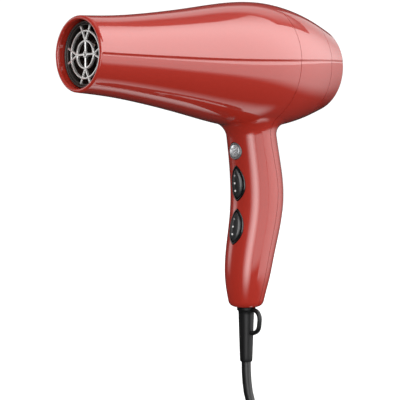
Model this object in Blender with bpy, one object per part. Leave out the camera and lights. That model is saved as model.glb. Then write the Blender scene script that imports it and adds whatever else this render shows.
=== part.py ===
"""Salon hair dryer, held upright, with its mains cord wound up on the surface below.

Metres, +Z up. The origin is the middle of the hand grip. The barrel lies along X with its
nozzle facing -X, and the switches are on the -X side of the handle.
"""

import math

import bmesh
import bpy
import numpy as np
from mathutils import Matrix, Vector

# Clearances and walls.
GAP = 0.0003
RUNNING_GAP = 0.0006
WALL = 0.0022
SEAM_GAP = 0.0004

# Barrel: (x, radius) along its axis, which lies BARREL_Z above the middle of the grip.
BARREL_Z = 0.100
BARREL_OUTLINE = [
    (-0.174, 0.0265),
    (-0.145, 0.0286),
    (-0.110, 0.0332),
    (-0.075, 0.0392),
    (-0.040, 0.0457),
    (-0.006, 0.0488),
    (0.020, 0.0464),
    (0.042, 0.0413),
    (0.062, 0.0346),
]
MOUTH_X = BARREL_OUTLINE[0][0]
SHOULDER_X, SHOULDER_R = BARREL_OUTLINE[-1]
REAR_EDGE_R = 0.0050
REAR_OPENING_R = 0.0292
BARREL_SIDES = 32

# Handle: (z, centre x, mean half width) from the bottom edge up to the barrel.
HANDLE_LINE = [
    (-0.0880, -0.0115, 0.0130),
    (-0.0780, -0.0112, 0.0152),
    (-0.0660, -0.0101, 0.0175),
    (-0.0500, -0.0078, 0.0191),
    (-0.0300, -0.0034, 0.0202),
    (-0.0100, 0.0000, 0.0208),
    (0.0080, 0.0000, 0.0208),
    (0.0260, -0.0024, 0.0202),
    (0.0450, -0.0058, 0.0197),
    (0.0700, -0.0100, 0.0197),
]
HANDLE_BOTTOM = -0.0884
HANDLE_EDGE_R = 0.0042
HANDLE_STRETCH_X = 1.02
HANDLE_STRETCH_Y = 0.98
HANDLE_FILLET = 0.0085
HANDLE_SIDES = 24

# Parting lines: the front and back shells meet on a line of (z, x) points, the cap on a plane.
PARTING_LINE = [
    (-0.1000, -0.0112),
    (-0.0680, -0.0082),
    (-0.0480, -0.0048),
    (-0.0280, -0.0006),
    (-0.0080, 0.0030),
    (0.0080, 0.0032),
    (0.0270, -0.0004),
    (0.0520, -0.0044),
    (0.0750, -0.0018),
    (0.1000, -0.0010),
    (0.1600, -0.0010),
]
CAP_X = 0.0415
CAP_SPIGOT = 0.005

# Screws in the back of the handle. Each head sits on a ledge SCREW_LEDGE behind the seam.
SCREW_Z = (0.0243, -0.0640)
SCREW_SHANK_R = 0.0012
SCREW_HEAD_R = 0.0026
SCREW_LEDGE = 0.003
BOSS_R = 0.0034
WELL_R = 0.0044

# Air duct, grille and heater inside the front of the barrel.
DUCT_FRONT_X = -0.1685
DUCT_REAR_X = -0.058
DUCT_MOUTH_R = 0.0232
DUCT_WALL = 0.0014
DUCT_CLEARANCE = 0.0010
GRILLE_X = -0.1678
GRILLE_DEPTH = 0.0020
GRILLE_HUB_R = 0.0023
GRILLE_RINGS = (0.0094, 0.0164)
GRILLE_BAR = 0.0013
GRILLE_V_ANGLE = math.radians(27)
HEATER_FRONT_X = -0.157
HEATER_REAR_X = -0.068
MICA = 0.0008
COIL_ZONES = [(-0.150, -0.127), (-0.121, -0.098), (-0.092, -0.074)]
COIL_TURNS = 3
COIL_WIRE_R = 0.0012
COIL_DROP = 0.0045

# Inlet grille and dust screen in the rear cap.
INLET_RINGS = (0.0095, 0.0155, 0.0215)
INLET_DEPTH = 0.0022
INLET_BARS = 6
SCREEN_X = 0.0580
SCREEN_R = 0.0270

# Motor and fan on the barrel's axis.
SHAFT_R = 0.0015
SHAFT_X = (-0.048, 0.0335)
FAN_X = (0.014, 0.032)
FAN_R = 0.0372
FAN_HUB_R = 0.0120
FAN_BLADES = 7
FAN_TWIST = math.radians(38)
STACK_X = (-0.026, 0.000)
STACK_R = (0.0144, 0.0204)
FIELD_COIL_R = (0.0148, 0.0186)
ARMATURE_R = 0.0139
ARMATURE_SLOTS = 12
FAN_DUCT_X = (-0.034, 0.036)
VANE_RING_X = (-0.030, -0.004)
VANE_RING_R = (0.0226, 0.0240)
VANES = 6

# Controls on the front of the handle.
COOL_Z = 0.0334
ROCKER_Z = (0.0084, -0.0252)
LEAF_HALF = (0.0118, 0.0052)
LEAF_SIDES = 24
BEZEL_WIDTH = 0.0015
ROCKER_DOME = [(1.0, -0.0030), (1.0, 0.0004), (0.94, 0.0013), (0.74, 0.0020), (0.40, 0.0024)]
ROCKER_PIVOT_DEPTH = 0.0032
COOL_R = 0.0050
COOL_RING = 0.0015

# Strain relief below the handle.
BOOT_X = -0.0112
BOOT_TOP = HANDLE_BOTTOM - GAP
BOOT_END = -0.1320
BOOT_R = (0.0062, 0.0049)
COLLAR_R = 0.0073
NECK_R = 0.0046
LOOP_REACH = 0.0145
LOOP_BAR_R = 0.0017
LOOP_BOTTOM = -0.1090

# Cord: it hangs from the boot, bends over and lies in a coil on the surface below.
CORD_R = 0.0037
FLOOR_Z = -0.2120
COIL_CENTRE = (0.0622, 0.0021)
COIL_MEAN_R = 0.0435
COIL_LAYERS = 2
COIL_ROWS = 3
COIL_BASE = FLOOR_Z + 0.0010
CORD_HEADING = (0.741, -0.672)
CORD_BEND_R = 0.052
STUB_ANGLE = math.radians(33)
CORD_ROUTE = [
    (-0.0112, 0.0000, -0.1320),
    (-0.0111, -0.0001, -0.1400),
    (-0.0106, -0.0006, -0.1500),
]
CORD_ARC = [math.radians(angle) for angle in (70, 60, 50, 41)]
TAIL_ROUTE = [
    (0.0282, 0.0530, -0.2073),
    (0.0130, 0.0530, -0.2073),
    (-0.0040, 0.0505, -0.2073),
    (-0.0200, 0.0455, -0.2073),
]
PLUG_LENGTH = 0.036
PLUG_HALF_HEIGHT = 0.0085
PLUG_LIFT = 0.0002
PIN_OFFSET = 0.0095
PIN_LENGTH = 0.019
PIN_R = 0.0024
TIE_THICK = 0.0007
TIE_HALF_WIDTH = 0.005
TIE_ANGLE = math.radians(-20)

# Cord clamp, and the leads from the terminal block up the back of the handle into the barrel.
CLAMP_Z = -0.0720
LEAD_R = 0.0010
LEAD_ROUTE = [
    (-0.0010, 0.0062, -0.0435),
    (0.0030, 0.0068, -0.0300),
    (0.0050, 0.0072, 0.0000),
    (0.0045, 0.0074, 0.0200),
    (0.0000, 0.0080, 0.0360),
    (-0.0030, 0.0090, 0.0490),
]

COLOURS = {
    "red": ((0.42, 0.035, 0.025), 0.22, 0.0),
    "black": ((0.012, 0.012, 0.013), 0.40, 0.0),
    "grey": ((0.06, 0.055, 0.055), 0.50, 0.0),
    "steel": ((0.55, 0.52, 0.50), 0.30, 1.0),
    "iron": ((0.20, 0.20, 0.21), 0.45, 1.0),
    "copper": ((0.60, 0.25, 0.10), 0.35, 1.0),
    "brass": ((0.65, 0.45, 0.15), 0.30, 1.0),
    "mica": ((0.48, 0.40, 0.28), 0.55, 0.0),
    "rubber": ((0.020, 0.020, 0.021), 0.65, 0.0),
    "ivory": ((0.70, 0.66, 0.55), 0.45, 0.0),
    "blue": ((0.03, 0.10, 0.35), 0.40, 0.0),
    "brown": ((0.16, 0.07, 0.03), 0.45, 0.0),
}


# ---------------------------------------------------------------- curves and shapes


def smooth_curve(points):
    """A function that passes through (position, value) points as a natural cubic spline."""
    x, y = np.array(points, float).T
    n = len(x)
    h = np.diff(x)
    matrix = np.eye(n)
    right = np.zeros(n)
    for i in range(1, n - 1):
        matrix[i, i - 1 : i + 2] = h[i - 1], 2 * (h[i - 1] + h[i]), h[i]
        right[i] = 6 * ((y[i + 1] - y[i]) / h[i] - (y[i] - y[i - 1]) / h[i - 1])
    bend = np.linalg.solve(matrix, right)

    def value(at):
        i = int(np.clip(np.searchsorted(x, at) - 1, 0, n - 2))
        a = (x[i + 1] - at) / h[i]
        b = 1 - a
        curved = ((a**3 - a) * bend[i] + (b**3 - b) * bend[i + 1]) * h[i] ** 2 / 6
        return float(a * y[i] + b * y[i + 1] + curved)

    return value


def smooth_path(route, spacing):
    """Points about spacing apart on a smooth curve through a route's points."""
    route = np.array(route, float)
    steps = np.linalg.norm(np.diff(route, axis=0), axis=1)
    along = np.concatenate([[0], np.cumsum(steps)])
    curves = [smooth_curve(list(zip(along, route[:, k]))) for k in range(3)]
    count = max(3, round(along[-1] / spacing) + 1)
    return [Vector([c(s) for c in curves]) for s in np.linspace(0, along[-1], count)]


barrel_radius = smooth_curve(BARREL_OUTLINE)
handle_x = smooth_curve([(z, x) for z, x, _ in HANDLE_LINE])
handle_half = smooth_curve([(z, half) for z, _, half in HANDLE_LINE])
parting_x = smooth_curve(PARTING_LINE)


def spaced(start, end, count):
    return [float(v) for v in np.linspace(start, end, count)]


def handle_front(z):
    """x of the handle's front surface at height z."""
    return handle_x(z) - handle_half(z) * HANDLE_STRETCH_X


def leaf(half_length, half_width, count=LEAF_SIDES):
    """A leaf outline as (y, z) points, pointed softly at both ends, fullest below its middle."""
    points = []
    for i in range(count):
        angle = 2 * math.pi * i / count
        z = math.cos(angle)
        fullness = max(0.0, 1 - abs(z) ** 2.2) ** 0.8
        y = math.copysign(fullness, math.sin(angle)) if abs(z) < 1 else 0.0
        points.append((y * half_width * (1 - 0.12 * z), z * half_length))
    return points


# ---------------------------------------------------------------- Blender helpers


def clear_scene():
    for obj in list(bpy.data.objects):
        bpy.data.objects.remove(obj)


def material(name, colour):
    rgb, roughness, metallic = COLOURS[colour]
    made = bpy.data.materials.new(name)
    made.use_nodes = True
    shader = made.node_tree.nodes["Principled BSDF"]
    shader.inputs["Base Color"].default_value = (*rgb, 1)
    shader.inputs["Roughness"].default_value = roughness
    shader.inputs["Metallic"].default_value = metallic
    return made


def finish(name, bm, colour):
    """Turns a bmesh into a named object with outward faces and smooth round sides."""
    bmesh.ops.recalc_face_normals(bm, faces=bm.faces)
    mesh = bpy.data.meshes.new(name)
    bm.to_mesh(mesh)
    bm.free()
    mesh.shade_smooth()
    mesh.set_sharp_from_angle(angle=math.radians(35))
    mesh.materials.append(material(name, colour))
    obj = bpy.data.objects.new(name, mesh)
    bpy.context.scene.collection.objects.link(obj)
    return obj


def skin(bm, rings, closed_loop=False):
    """Faces between rings of vertices. A ring of one vertex is a pole."""
    pairs = list(zip(rings, rings[1:]))
    if closed_loop:
        pairs.append((rings[-1], rings[0]))
    for a, b in pairs:
        count = max(len(a), len(b))
        for i in range(count):
            j = (i + 1) % count
            corners = [a[i % len(a)], a[j % len(a)], b[j % len(b)], b[i % len(b)]]
            bm.faces.new(list(dict.fromkeys(corners)))


def turned(name, profile, colour, sides=32, axis_z=BARREL_Z):
    """A body turned about the barrel's axis from a closed outline of (x, radius) points.

    An outline whose ends have radius 0 is solid, any other is a ring."""
    bm = bmesh.new()
    rings = []
    for x, r in profile:
        if r < 1e-7:
            rings.append([bm.verts.new((x, 0, axis_z))])
            continue
        ring = []
        for i in range(sides):
            angle = 2 * math.pi * i / sides
            ring.append(bm.verts.new((x, r * math.sin(angle), axis_z + r * math.cos(angle))))
        rings.append(ring)
    solid = len(rings[0]) == 1
    skin(bm, rings, closed_loop=not solid)
    return finish(name, bm, colour)


def tube_ring(name, x_range, r_range, colour, sides=32):
    (x0, x1), (r0, r1) = x_range, r_range
    return turned(name, [(x0, r0), (x0, r1), (x1, r1), (x1, r0)], colour, sides)


def rod(name, x_range, radius, colour, sides=16):
    x0, x1 = x_range
    return turned(name, [(x0, 0), (x0, radius), (x1, radius), (x1, 0)], colour, sides)


def loft(name, rings, colour):
    """A closed body through rings of points, with flat ends."""
    bm = bmesh.new()
    made = [[bm.verts.new(point) for point in ring] for ring in rings]
    skin(bm, made)
    bm.faces.new(made[0])
    bm.faces.new(made[-1])
    return finish(name, bm, colour)


def box(name, low, high, colour):
    (x0, y0, z0), (x1, y1, z1) = low, high
    corners = [(x0, y0), (x1, y0), (x1, y1), (x0, y1)]
    return loft(name, [[(x, y, z) for x, y in corners] for z in (z0, z1)], colour)


def pillar(name, centre, radius, z_range, colour, sides=16):
    """A round body that stands along Z."""
    ring = [2 * math.pi * i / sides for i in range(sides)]
    x, y = centre
    rings = []
    for z in z_range:
        rings.append([(x + radius * math.cos(a), y + radius * math.sin(a), z) for a in ring])
    return loft(name, rings, colour)


def peg(name, start, end, radius, colour, sides=16):
    """A round body from start to end."""
    start, end = Vector(start), Vector(end)
    turn = (end - start).to_track_quat("Z", "Y").to_matrix()
    rings = []
    for point in (start, end):
        ring = []
        for i in range(sides):
            angle = 2 * math.pi * i / sides
            ring.append(point + turn @ Vector((math.cos(angle), math.sin(angle), 0)) * radius)
        rings.append(ring)
    return loft(name, rings, colour)


def plate_yz(name, outline, x_range, colour):
    """An outline of (y, z) points, made thick along X."""
    return loft(name, [[(x, y, z) for y, z in outline] for x in x_range], colour)


def tube(name, points, radius, colour, resolution=2):
    """A cord or wire: a curve object with round section and filled ends."""
    curve = bpy.data.curves.new(name, "CURVE")
    curve.dimensions = "3D"
    curve.bevel_depth = radius
    curve.bevel_resolution = resolution
    curve.use_fill_caps = True
    spline = curve.splines.new("POLY")
    spline.points.add(len(points) - 1)
    for place, point in zip(spline.points, points):
        place.co = (*point, 1)
    curve.materials.append(material(name, colour))
    obj = bpy.data.objects.new(name, curve)
    bpy.context.scene.collection.objects.link(obj)
    return obj


def boolean(obj, other, operation):
    """Applies one exact Boolean to obj and removes the other object."""
    change = obj.modifiers.new(operation.lower(), "BOOLEAN")
    change.operation = operation
    change.object = other
    graph = bpy.context.evaluated_depsgraph_get()
    mesh = bpy.data.meshes.new_from_object(obj.evaluated_get(graph))
    obj.modifiers.clear()
    old = obj.data
    colours = list(old.materials)
    obj.data = mesh
    mesh.name = obj.name
    mesh.materials.clear()
    for colour in colours[:1]:
        mesh.materials.append(colour)
    mesh.polygons.foreach_set("material_index", [0] * len(mesh.polygons))
    tidy = bmesh.new()
    tidy.from_mesh(mesh)
    bmesh.ops.dissolve_degenerate(tidy, edges=tidy.edges, dist=1e-6)
    bmesh.ops.remove_doubles(tidy, verts=tidy.verts, dist=1e-6)
    tidy.to_mesh(mesh)
    tidy.free()
    bpy.data.meshes.remove(old)
    bpy.data.objects.remove(other)
    mesh.shade_smooth()
    mesh.set_sharp_from_angle(angle=math.radians(35))
    return obj


def copy_of(obj, name):
    twin = obj.copy()
    twin.data = obj.data.copy()
    twin.name = name
    bpy.context.scene.collection.objects.link(twin)
    return twin


def origin_at(obj, place):
    """Moves an object's origin without moving its shape."""
    place = Vector(place)
    obj.data.transform(Matrix.Translation(-place))
    obj.location = place


# ---------------------------------------------------------------- housing


def rear_edge():
    """The rounded edge between the barrel's side and its rear rim, as (x, radius) points."""
    slope = (SHOULDER_R - barrel_radius(SHOULDER_X - 0.001)) / 0.001
    start = math.atan2(1, -slope)
    points = []
    for step in range(1, 5):
        angle = start * (1 - step / 4)
        x = SHOULDER_X + REAR_EDGE_R * (math.cos(angle) - math.cos(start))
        r = SHOULDER_R - REAR_EDGE_R * (math.sin(start) - math.sin(angle))
        points.append((x, r))
    return points


def barrel_body(name):
    """The barrel as a solid."""
    side = [(x, barrel_radius(x)) for x in spaced(MOUTH_X, SHOULDER_X, 13)] + rear_edge()
    profile = [(side[0][0], 0)] + side + [(side[-1][0], 0)]
    return turned(name, profile, "red", BARREL_SIDES)


def handle_ring(z, inset=0.0, edge=1.0):
    """The handle's outline at height z, drawn in by inset and scaled by edge."""
    half = handle_half(z)
    points = []
    for i in range(HANDLE_SIDES):
        angle = 2 * math.pi * i / HANDLE_SIDES
        x = handle_x(z) + (half * HANDLE_STRETCH_X - inset) * edge * math.cos(angle)
        y = (half * HANDLE_STRETCH_Y - inset) * edge * math.sin(angle)
        points.append(Vector((x, y, z)))
    return points


def handle_body(name, inset=0.0, sunk=0.0006):
    """The handle as a solid: rounded bottom edge, bent grip, and a fillet under the barrel."""
    base = handle_half(HANDLE_BOTTOM)
    floor = HANDLE_BOTTOM + inset
    rings = []
    for step in range(4):
        angle = math.pi / 2 * step / 3
        z = floor + HANDLE_EDGE_R * (1 - math.cos(angle))
        edge = 1 - HANDLE_EDGE_R * (1 - math.sin(angle)) / base
        rings.append(handle_ring(z, inset, edge))
    walls = []
    for i in range(HANDLE_SIDES):
        walls.append(fillet_foot(i, inset))
    top = [foot.z for foot in walls]
    for share in spaced(0, 1, 8)[1:]:
        ring = []
        for i in range(HANDLE_SIDES):
            z = rings[3][0].z + (top[i] - rings[3][0].z) * share
            ring.append(handle_ring(z, inset)[i])
        rings.append(ring)
    for share in (0.35, 0.7, 1.0):
        rings.append([fillet_point(i, share, inset, sunk) for i in range(HANDLE_SIDES)])
    rings.append([Vector((p.x * 0.6, p.y * 0.6, BARREL_Z - 0.01)) for p in rings[-1]])
    return loft(name, rings, "red")


def barrel_underside(x, y, inset=0.0):
    r = barrel_radius(x) - inset
    return BARREL_Z - math.sqrt(max(r * r - y * y, 0))


def fillet_foot(i, inset):
    """Where the fillet leaves the handle's wall, on side i."""
    z = 0.05
    for _ in range(12):
        point = handle_ring(z, inset)[i]
        z = barrel_underside(point.x, point.y, inset) - HANDLE_FILLET
    return handle_ring(z, inset)[i]


def fillet_point(i, share, inset, sunk):
    """A point on the curve from the handle's wall to the barrel's underside."""
    foot = fillet_foot(i, inset)
    above = handle_ring(foot.z + HANDLE_FILLET, inset)[i]
    centre = Vector((handle_x(above.z), 0, above.z))
    corner = Vector((above.x, above.y, barrel_underside(above.x, above.y, inset)))
    out = (above - centre).normalized() * HANDLE_FILLET
    land = above + out
    land.z = barrel_underside(land.x, land.y, inset) + sunk
    return foot * (1 - share) ** 2 + corner * 2 * share * (1 - share) + land * share**2


def barrel_hollow():
    """The hollow of the barrel, from the mouth's lip back to the rear cap's opening."""
    lip = [(MOUTH_X - 0.001, 0.0241), (MOUTH_X + 0.002, 0.0237), (MOUTH_X + 0.010, 0.0237)]
    xs = spaced(MOUTH_X + 0.014, SHOULDER_X - 0.001, 11)
    wall = [(x, barrel_radius(x) - WALL) for x in xs]
    rear = [(SHOULDER_X - 0.0005, REAR_OPENING_R), (SHOULDER_X + 0.02, REAR_OPENING_R)]
    profile = [(lip[0][0], 0)] + lip + wall + rear + [(rear[-1][0], 0)]
    return turned("cavity", profile, "red", BARREL_SIDES)


def parting_cutter(name, side, shift):
    """Everything in front of (side -1) or behind (side +1) the parting line, moved by shift."""
    zs = [0.165] + spaced(0.100, -0.095, 14)
    edge = [(parting_x(z) + shift, z) for z in zs]
    far = side * 0.3
    outline = edge + [(far, zs[-1]), (far, zs[0])]
    bm = bmesh.new()
    rings = [[bm.verts.new((x, y, z)) for x, z in outline] for y in (-0.07, 0.07)]
    skin(bm, rings)
    bm.faces.new(rings[0])
    bm.faces.new(rings[1])
    return finish(name, bm, "red")


def control_holes():
    """Bodies that cut the openings for the two rockers and the cool-shot button."""
    cutters = []
    grow = BEZEL_WIDTH + RUNNING_GAP + GAP
    for z in ROCKER_Z:
        outline = [(y, z + up) for y, up in leaf(LEAF_HALF[0] + grow, LEAF_HALF[1] + grow)]
        x = handle_front(z)
        cutters.append(plate_yz("hole", outline, (x - 0.01, x + 0.010), "red"))
    x = handle_front(COOL_Z)
    bore = (x - 0.01, 0, COOL_Z), (x + 0.010, 0, COOL_Z)
    cutters.append(peg("hole", *bore, COOL_R + COOL_RING + GAP, "red", 24))
    return cutters


def front_bosses():
    """Blind screw bosses that stand on the inside of the front shell."""
    made = []
    for z in SCREW_Z:
        span = (handle_front(z) + WALL / 2, 0, z), (parting_x(z) - SEAM_GAP, 0, z)
        boss = peg("boss", *span, BOSS_R, "red", 12)
        hole = (parting_x(z) - 0.009, 0, z), (parting_x(z) + 0.002, 0, z)
        boolean(boss, peg("hole", *hole, SCREW_SHANK_R + GAP, "red", 12), "DIFFERENCE")
        made.append(boss)
    return made


def back_of_handle(z):
    return handle_x(z) + handle_half(z) * HANDLE_STRETCH_X


def screw_well(z):
    """The solid that a back shell's screw well is cut from."""
    span = (parting_x(z) + SEAM_GAP, 0, z), (back_of_handle(z) - 0.0012, 0, z)
    return peg("well", *span, WELL_R, "red", 16)


def well_bore(z, start, radius):
    """A bore that runs back from start, out of the handle."""
    out = back_of_handle(z) + 0.004
    return peg("bore", (start, 0, z), (out, 0, z), radius + GAP, "red")


def housing():
    """Front shell, back shell and cap ring, all cut from one hollow body."""
    body = barrel_body("body")
    boolean(body, handle_body("grip"), "UNION")
    hollow = barrel_hollow()
    boolean(hollow, handle_body("grip_hollow", inset=WALL, sunk=0.0012), "UNION")
    boolean(body, hollow, "DIFFERENCE")
    z_range = (HANDLE_BOTTOM - 0.01, HANDLE_BOTTOM + 0.01)
    boolean(body, pillar("drill", (BOOT_X, 0), NECK_R + GAP, z_range, "red"), "DIFFERENCE")

    front = copy_of(body, "front_shell")
    boolean(front, parting_cutter("behind", 1, -SEAM_GAP / 2), "DIFFERENCE")
    for boss in front_bosses():
        boolean(front, boss, "UNION")
    for hole in control_holes():
        boolean(front, hole, "DIFFERENCE")

    back = copy_of(body, "back_shell")
    boolean(back, parting_cutter("ahead", -1, SEAM_GAP / 2), "DIFFERENCE")
    slab = (CAP_X - SEAM_GAP / 2, -0.06, 0.03), (0.1, 0.06, 0.16)
    boolean(back, box("slab", *slab, "red"), "DIFFERENCE")
    for z in SCREW_Z:
        boolean(back, screw_well(z), "UNION")
        boolean(back, well_bore(z, parting_x(z) + SCREW_LEDGE, SCREW_HEAD_R), "DIFFERENCE")
        boolean(back, well_bore(z, parting_x(z) - 0.002, SCREW_SHANK_R), "DIFFERENCE")

    cap = copy_of(body, "rear_cap")
    slab = (-0.3, -0.06, -0.12), (CAP_X + SEAM_GAP / 2, 0.06, 0.16)
    boolean(cap, box("slab", *slab, "red"), "DIFFERENCE")
    bpy.data.objects.remove(body)
    boolean(cap, spigot(), "UNION")


def spigot():
    """The ring on the rear cap that slides into the back shell."""
    lap = 0.0012
    outer = barrel_radius(CAP_X) - WALL - GAP - 0.0002
    x0 = CAP_X - CAP_SPIGOT
    x1 = CAP_X + 0.004
    profile = [
        (x0, outer - lap),
        (x0, outer),
        (CAP_X + 0.0007, outer),
        (CAP_X + 0.0012, outer + 0.0012),
        (x1, outer - 0.0006),
        (x1, outer - lap - 0.0014),
    ]
    return turned("spigot", profile, "red", BARREL_SIDES)


def handle_screws():
    for name, z in zip(("handle_screw_upper", "handle_screw_lower"), SCREW_Z):
        ledge = parting_x(z) + SCREW_LEDGE + GAP
        shank = (parting_x(z) - 0.0085, 0, z), (ledge + 0.0005, 0, z)
        screw = peg(name, *shank, SCREW_SHANK_R, "steel", 12)
        head = (ledge, 0, z), (ledge + 0.0018, 0, z)
        boolean(screw, peg("head", *head, SCREW_HEAD_R, "steel", 16), "UNION")


# ---------------------------------------------------------------- outlet and heater


def duct_outer(x):
    if x < MOUTH_X + 0.014:
        return DUCT_MOUTH_R
    return max(DUCT_MOUTH_R, barrel_radius(x) - WALL - DUCT_CLEARANCE)


def air_duct():
    xs = [DUCT_FRONT_X, MOUTH_X + 0.0105] + spaced(MOUTH_X + 0.0150, DUCT_REAR_X, 5)
    outer = [(x, duct_outer(x)) for x in xs]
    inner = [(x, duct_outer(x) - DUCT_WALL) for x in reversed(xs)]
    turned("air_duct", outer + inner, "grey", BARREL_SIDES)


def bar(start, end, width):
    """One straight bar of the outlet grille between (y, z) points about the axis."""
    start, end = Vector(start), Vector(end)
    side = (end - start).normalized().orthogonal() * width / 2
    corners = [start - side, start + side, end + side, end - side]
    outline = [(c.x, BARREL_Z + c.y) for c in corners]
    return plate_yz("bar", outline, (GRILLE_X + 0.0001, GRILLE_X + GRILLE_DEPTH - 0.0001), "steel")


def polar(radius, angle):
    return (radius * math.cos(angle), radius * math.sin(angle))


def outlet_grille():
    """Hub, two rings, four spokes inside and four pairs of spokes outside, in a slim rim."""
    x_range = (GRILLE_X, GRILLE_X + GRILLE_DEPTH)
    rim = DUCT_MOUTH_R - DUCT_WALL - GAP
    grille = tube_ring("outlet_grille", x_range, (rim - 0.0010, rim), "steel", BARREL_SIDES)
    for radius in GRILLE_RINGS:
        edge = (radius - GRILLE_BAR / 2, radius + GRILLE_BAR / 2)
        boolean(grille, tube_ring("ring", x_range, edge, "steel", 20), "UNION")
    hub = tube_ring("hub", x_range, (GRILLE_HUB_R * 0.5, GRILLE_HUB_R), "steel", 12)
    boolean(grille, hub, "UNION")
    for quarter in range(4):
        angle = quarter * math.pi / 2
        knee = Vector(polar(GRILLE_RINGS[0], angle))
        boolean(grille, bar(polar(GRILLE_HUB_R * 0.8, angle), knee, GRILLE_BAR), "UNION")
        for lean in (-GRILLE_V_ANGLE, GRILLE_V_ANGLE):
            way = Vector(polar(1, angle + lean))
            along = knee.dot(way)
            reach = math.sqrt((rim - 0.0005) ** 2 - knee.length_squared + along**2) - along
            boolean(grille, bar(knee, knee + way * reach, GRILLE_BAR), "UNION")


def sleeve_inner(x):
    return duct_outer(x) - DUCT_WALL - GAP - 0.0006


def mica_sleeve():
    xs = spaced(HEATER_FRONT_X - 0.002, HEATER_REAR_X + 0.002, 4)
    inner = [(x, sleeve_inner(x)) for x in xs]
    outer = [(x, sleeve_inner(x) + 0.0006) for x in reversed(xs)]
    turned("mica_sleeve", inner + outer, "mica", BARREL_SIDES)


def board_edge(x):
    return sleeve_inner(x) - 0.0008


def board_outline():
    """One long edge of a heater board: (x, distance from the axis), stepped in at each coil."""
    points = [(HEATER_FRONT_X, board_edge(HEATER_FRONT_X))]
    for start, end in COIL_ZONES:
        points.append((start, board_edge(start)))
        points.append((start, board_edge(start) - COIL_DROP))
        points.append((end, board_edge(end) - COIL_DROP))
        points.append((end, board_edge(end)))
    points.append((HEATER_REAR_X, board_edge(HEATER_REAR_X)))
    return points


def mica_boards():
    """Two crossed boards, each with a slot over half its length for the other one."""
    edge = board_outline()
    middle = (HEATER_FRONT_X + HEATER_REAR_X) / 2
    slot = MICA / 2 + GAP
    outline = edge + [(HEATER_REAR_X, slot), (middle - GAP, slot)]
    outline += [(middle - GAP, -slot), (HEATER_REAR_X, -slot)]
    outline += [(x, -r) for x, r in reversed(edge)]
    rings = []
    for y in (-MICA / 2, MICA / 2):
        rings.append([(x, y, BARREL_Z + r) for x, r in outline])
    loft("mica_board_upright", rings, "mica")
    outline = [(HEATER_FRONT_X, slot)] + edge
    outline += [(x, -r) for x, r in reversed(edge)]
    outline += [(HEATER_FRONT_X, -slot), (middle + GAP, -slot), (middle + GAP, slot)]
    rings = []
    for z in (-MICA / 2, MICA / 2):
        rings.append([(x, r, BARREL_Z + z) for x, r in outline])
    loft("mica_board_level", rings, "mica")


def heater_coils():
    for name, (start, end) in zip(("front", "middle", "rear"), COIL_ZONES):
        margin = COIL_WIRE_R + 0.002
        points = []
        count = COIL_TURNS * 12 + 1
        for i in range(count):
            share = i / (count - 1)
            x = start + margin + (end - start - 2 * margin) * share
            radius = board_edge(x) - COIL_DROP + 0.0013 + COIL_WIRE_R
            angle = 2 * math.pi * COIL_TURNS * share
            y, z = polar(radius, angle)
            points.append((x, y, BARREL_Z + z))
        tube(f"heater_coil_{name}", points, COIL_WIRE_R, "steel", resolution=0)


def heater_guards():
    """The thermostat and the thermal fuse on the upright board."""
    side = MICA / 2 + GAP
    low = (-0.090, side, BARREL_Z + 0.007)
    high = (-0.078, side + 0.006, BARREL_Z + 0.017)
    box("thermostat", low, high, "brown")
    y = -(side + 0.0016)
    z = BARREL_Z + 0.010
    peg("thermal_fuse", (-0.116, y, z), (-0.103, y, z), 0.0016, "steel", 12)


# ---------------------------------------------------------------- motor and fan


def motor():
    bore = SHAFT_R + GAP
    tube_ring("field_stack", STACK_X, STACK_R, "iron", 32)
    x_range = (STACK_X[0] - 0.006, STACK_X[0] - GAP)
    tube_ring("field_coil_front", x_range, FIELD_COIL_R, "copper", 24)
    x_range = (STACK_X[1] + GAP, STACK_X[1] + 0.006)
    tube_ring("field_coil_rear", x_range, FIELD_COIL_R, "copper", 24)
    seat = 0.0052
    front = STACK_X[0] - 0.020
    outline = [
        (front, seat),
        (front, STACK_R[1]),
        (STACK_X[0] - GAP, STACK_R[1]),
        (STACK_X[0] - GAP, STACK_R[1] - 0.0014),
        (front + 0.0035, STACK_R[1] - 0.0014),
        (front + 0.0035, seat),
    ]
    turned("motor_bracket_front", outline, "steel", 32)
    tube_ring("bearing_front", (front, front + 0.0035), (bore, seat - GAP), "brass", 20)
    rear = STACK_X[1] + 0.0115
    outline = [
        (rear, seat),
        (rear, STACK_R[1]),
        (STACK_X[1] + GAP, STACK_R[1]),
        (STACK_X[1] + GAP, STACK_R[1] - 0.0014),
        (rear - 0.0035, STACK_R[1] - 0.0014),
        (rear - 0.0035, seat),
    ]
    turned("motor_bracket_rear", outline, "steel", 32)
    tube_ring("bearing_rear", (rear - 0.0035, rear), (bore, seat - GAP), "brass", 20)
    damper = (STACK_R[1] + GAP, VANE_RING_R[0] - GAP)
    tube_ring("motor_damper", (-0.022, -0.012), damper, "rubber", 32)
    brush_x = (STACK_X[0] - 0.0135, STACK_X[0] - 0.0085)
    for name, way in (("upper", 1), ("lower", -1)):
        near, far = sorted((BARREL_Z + way * 0.0064, BARREL_Z + way * 0.0150))
        box(f"carbon_brush_{name}", (brush_x[0], -0.0022, near), (brush_x[1], 0.0022, far), "iron")


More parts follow.
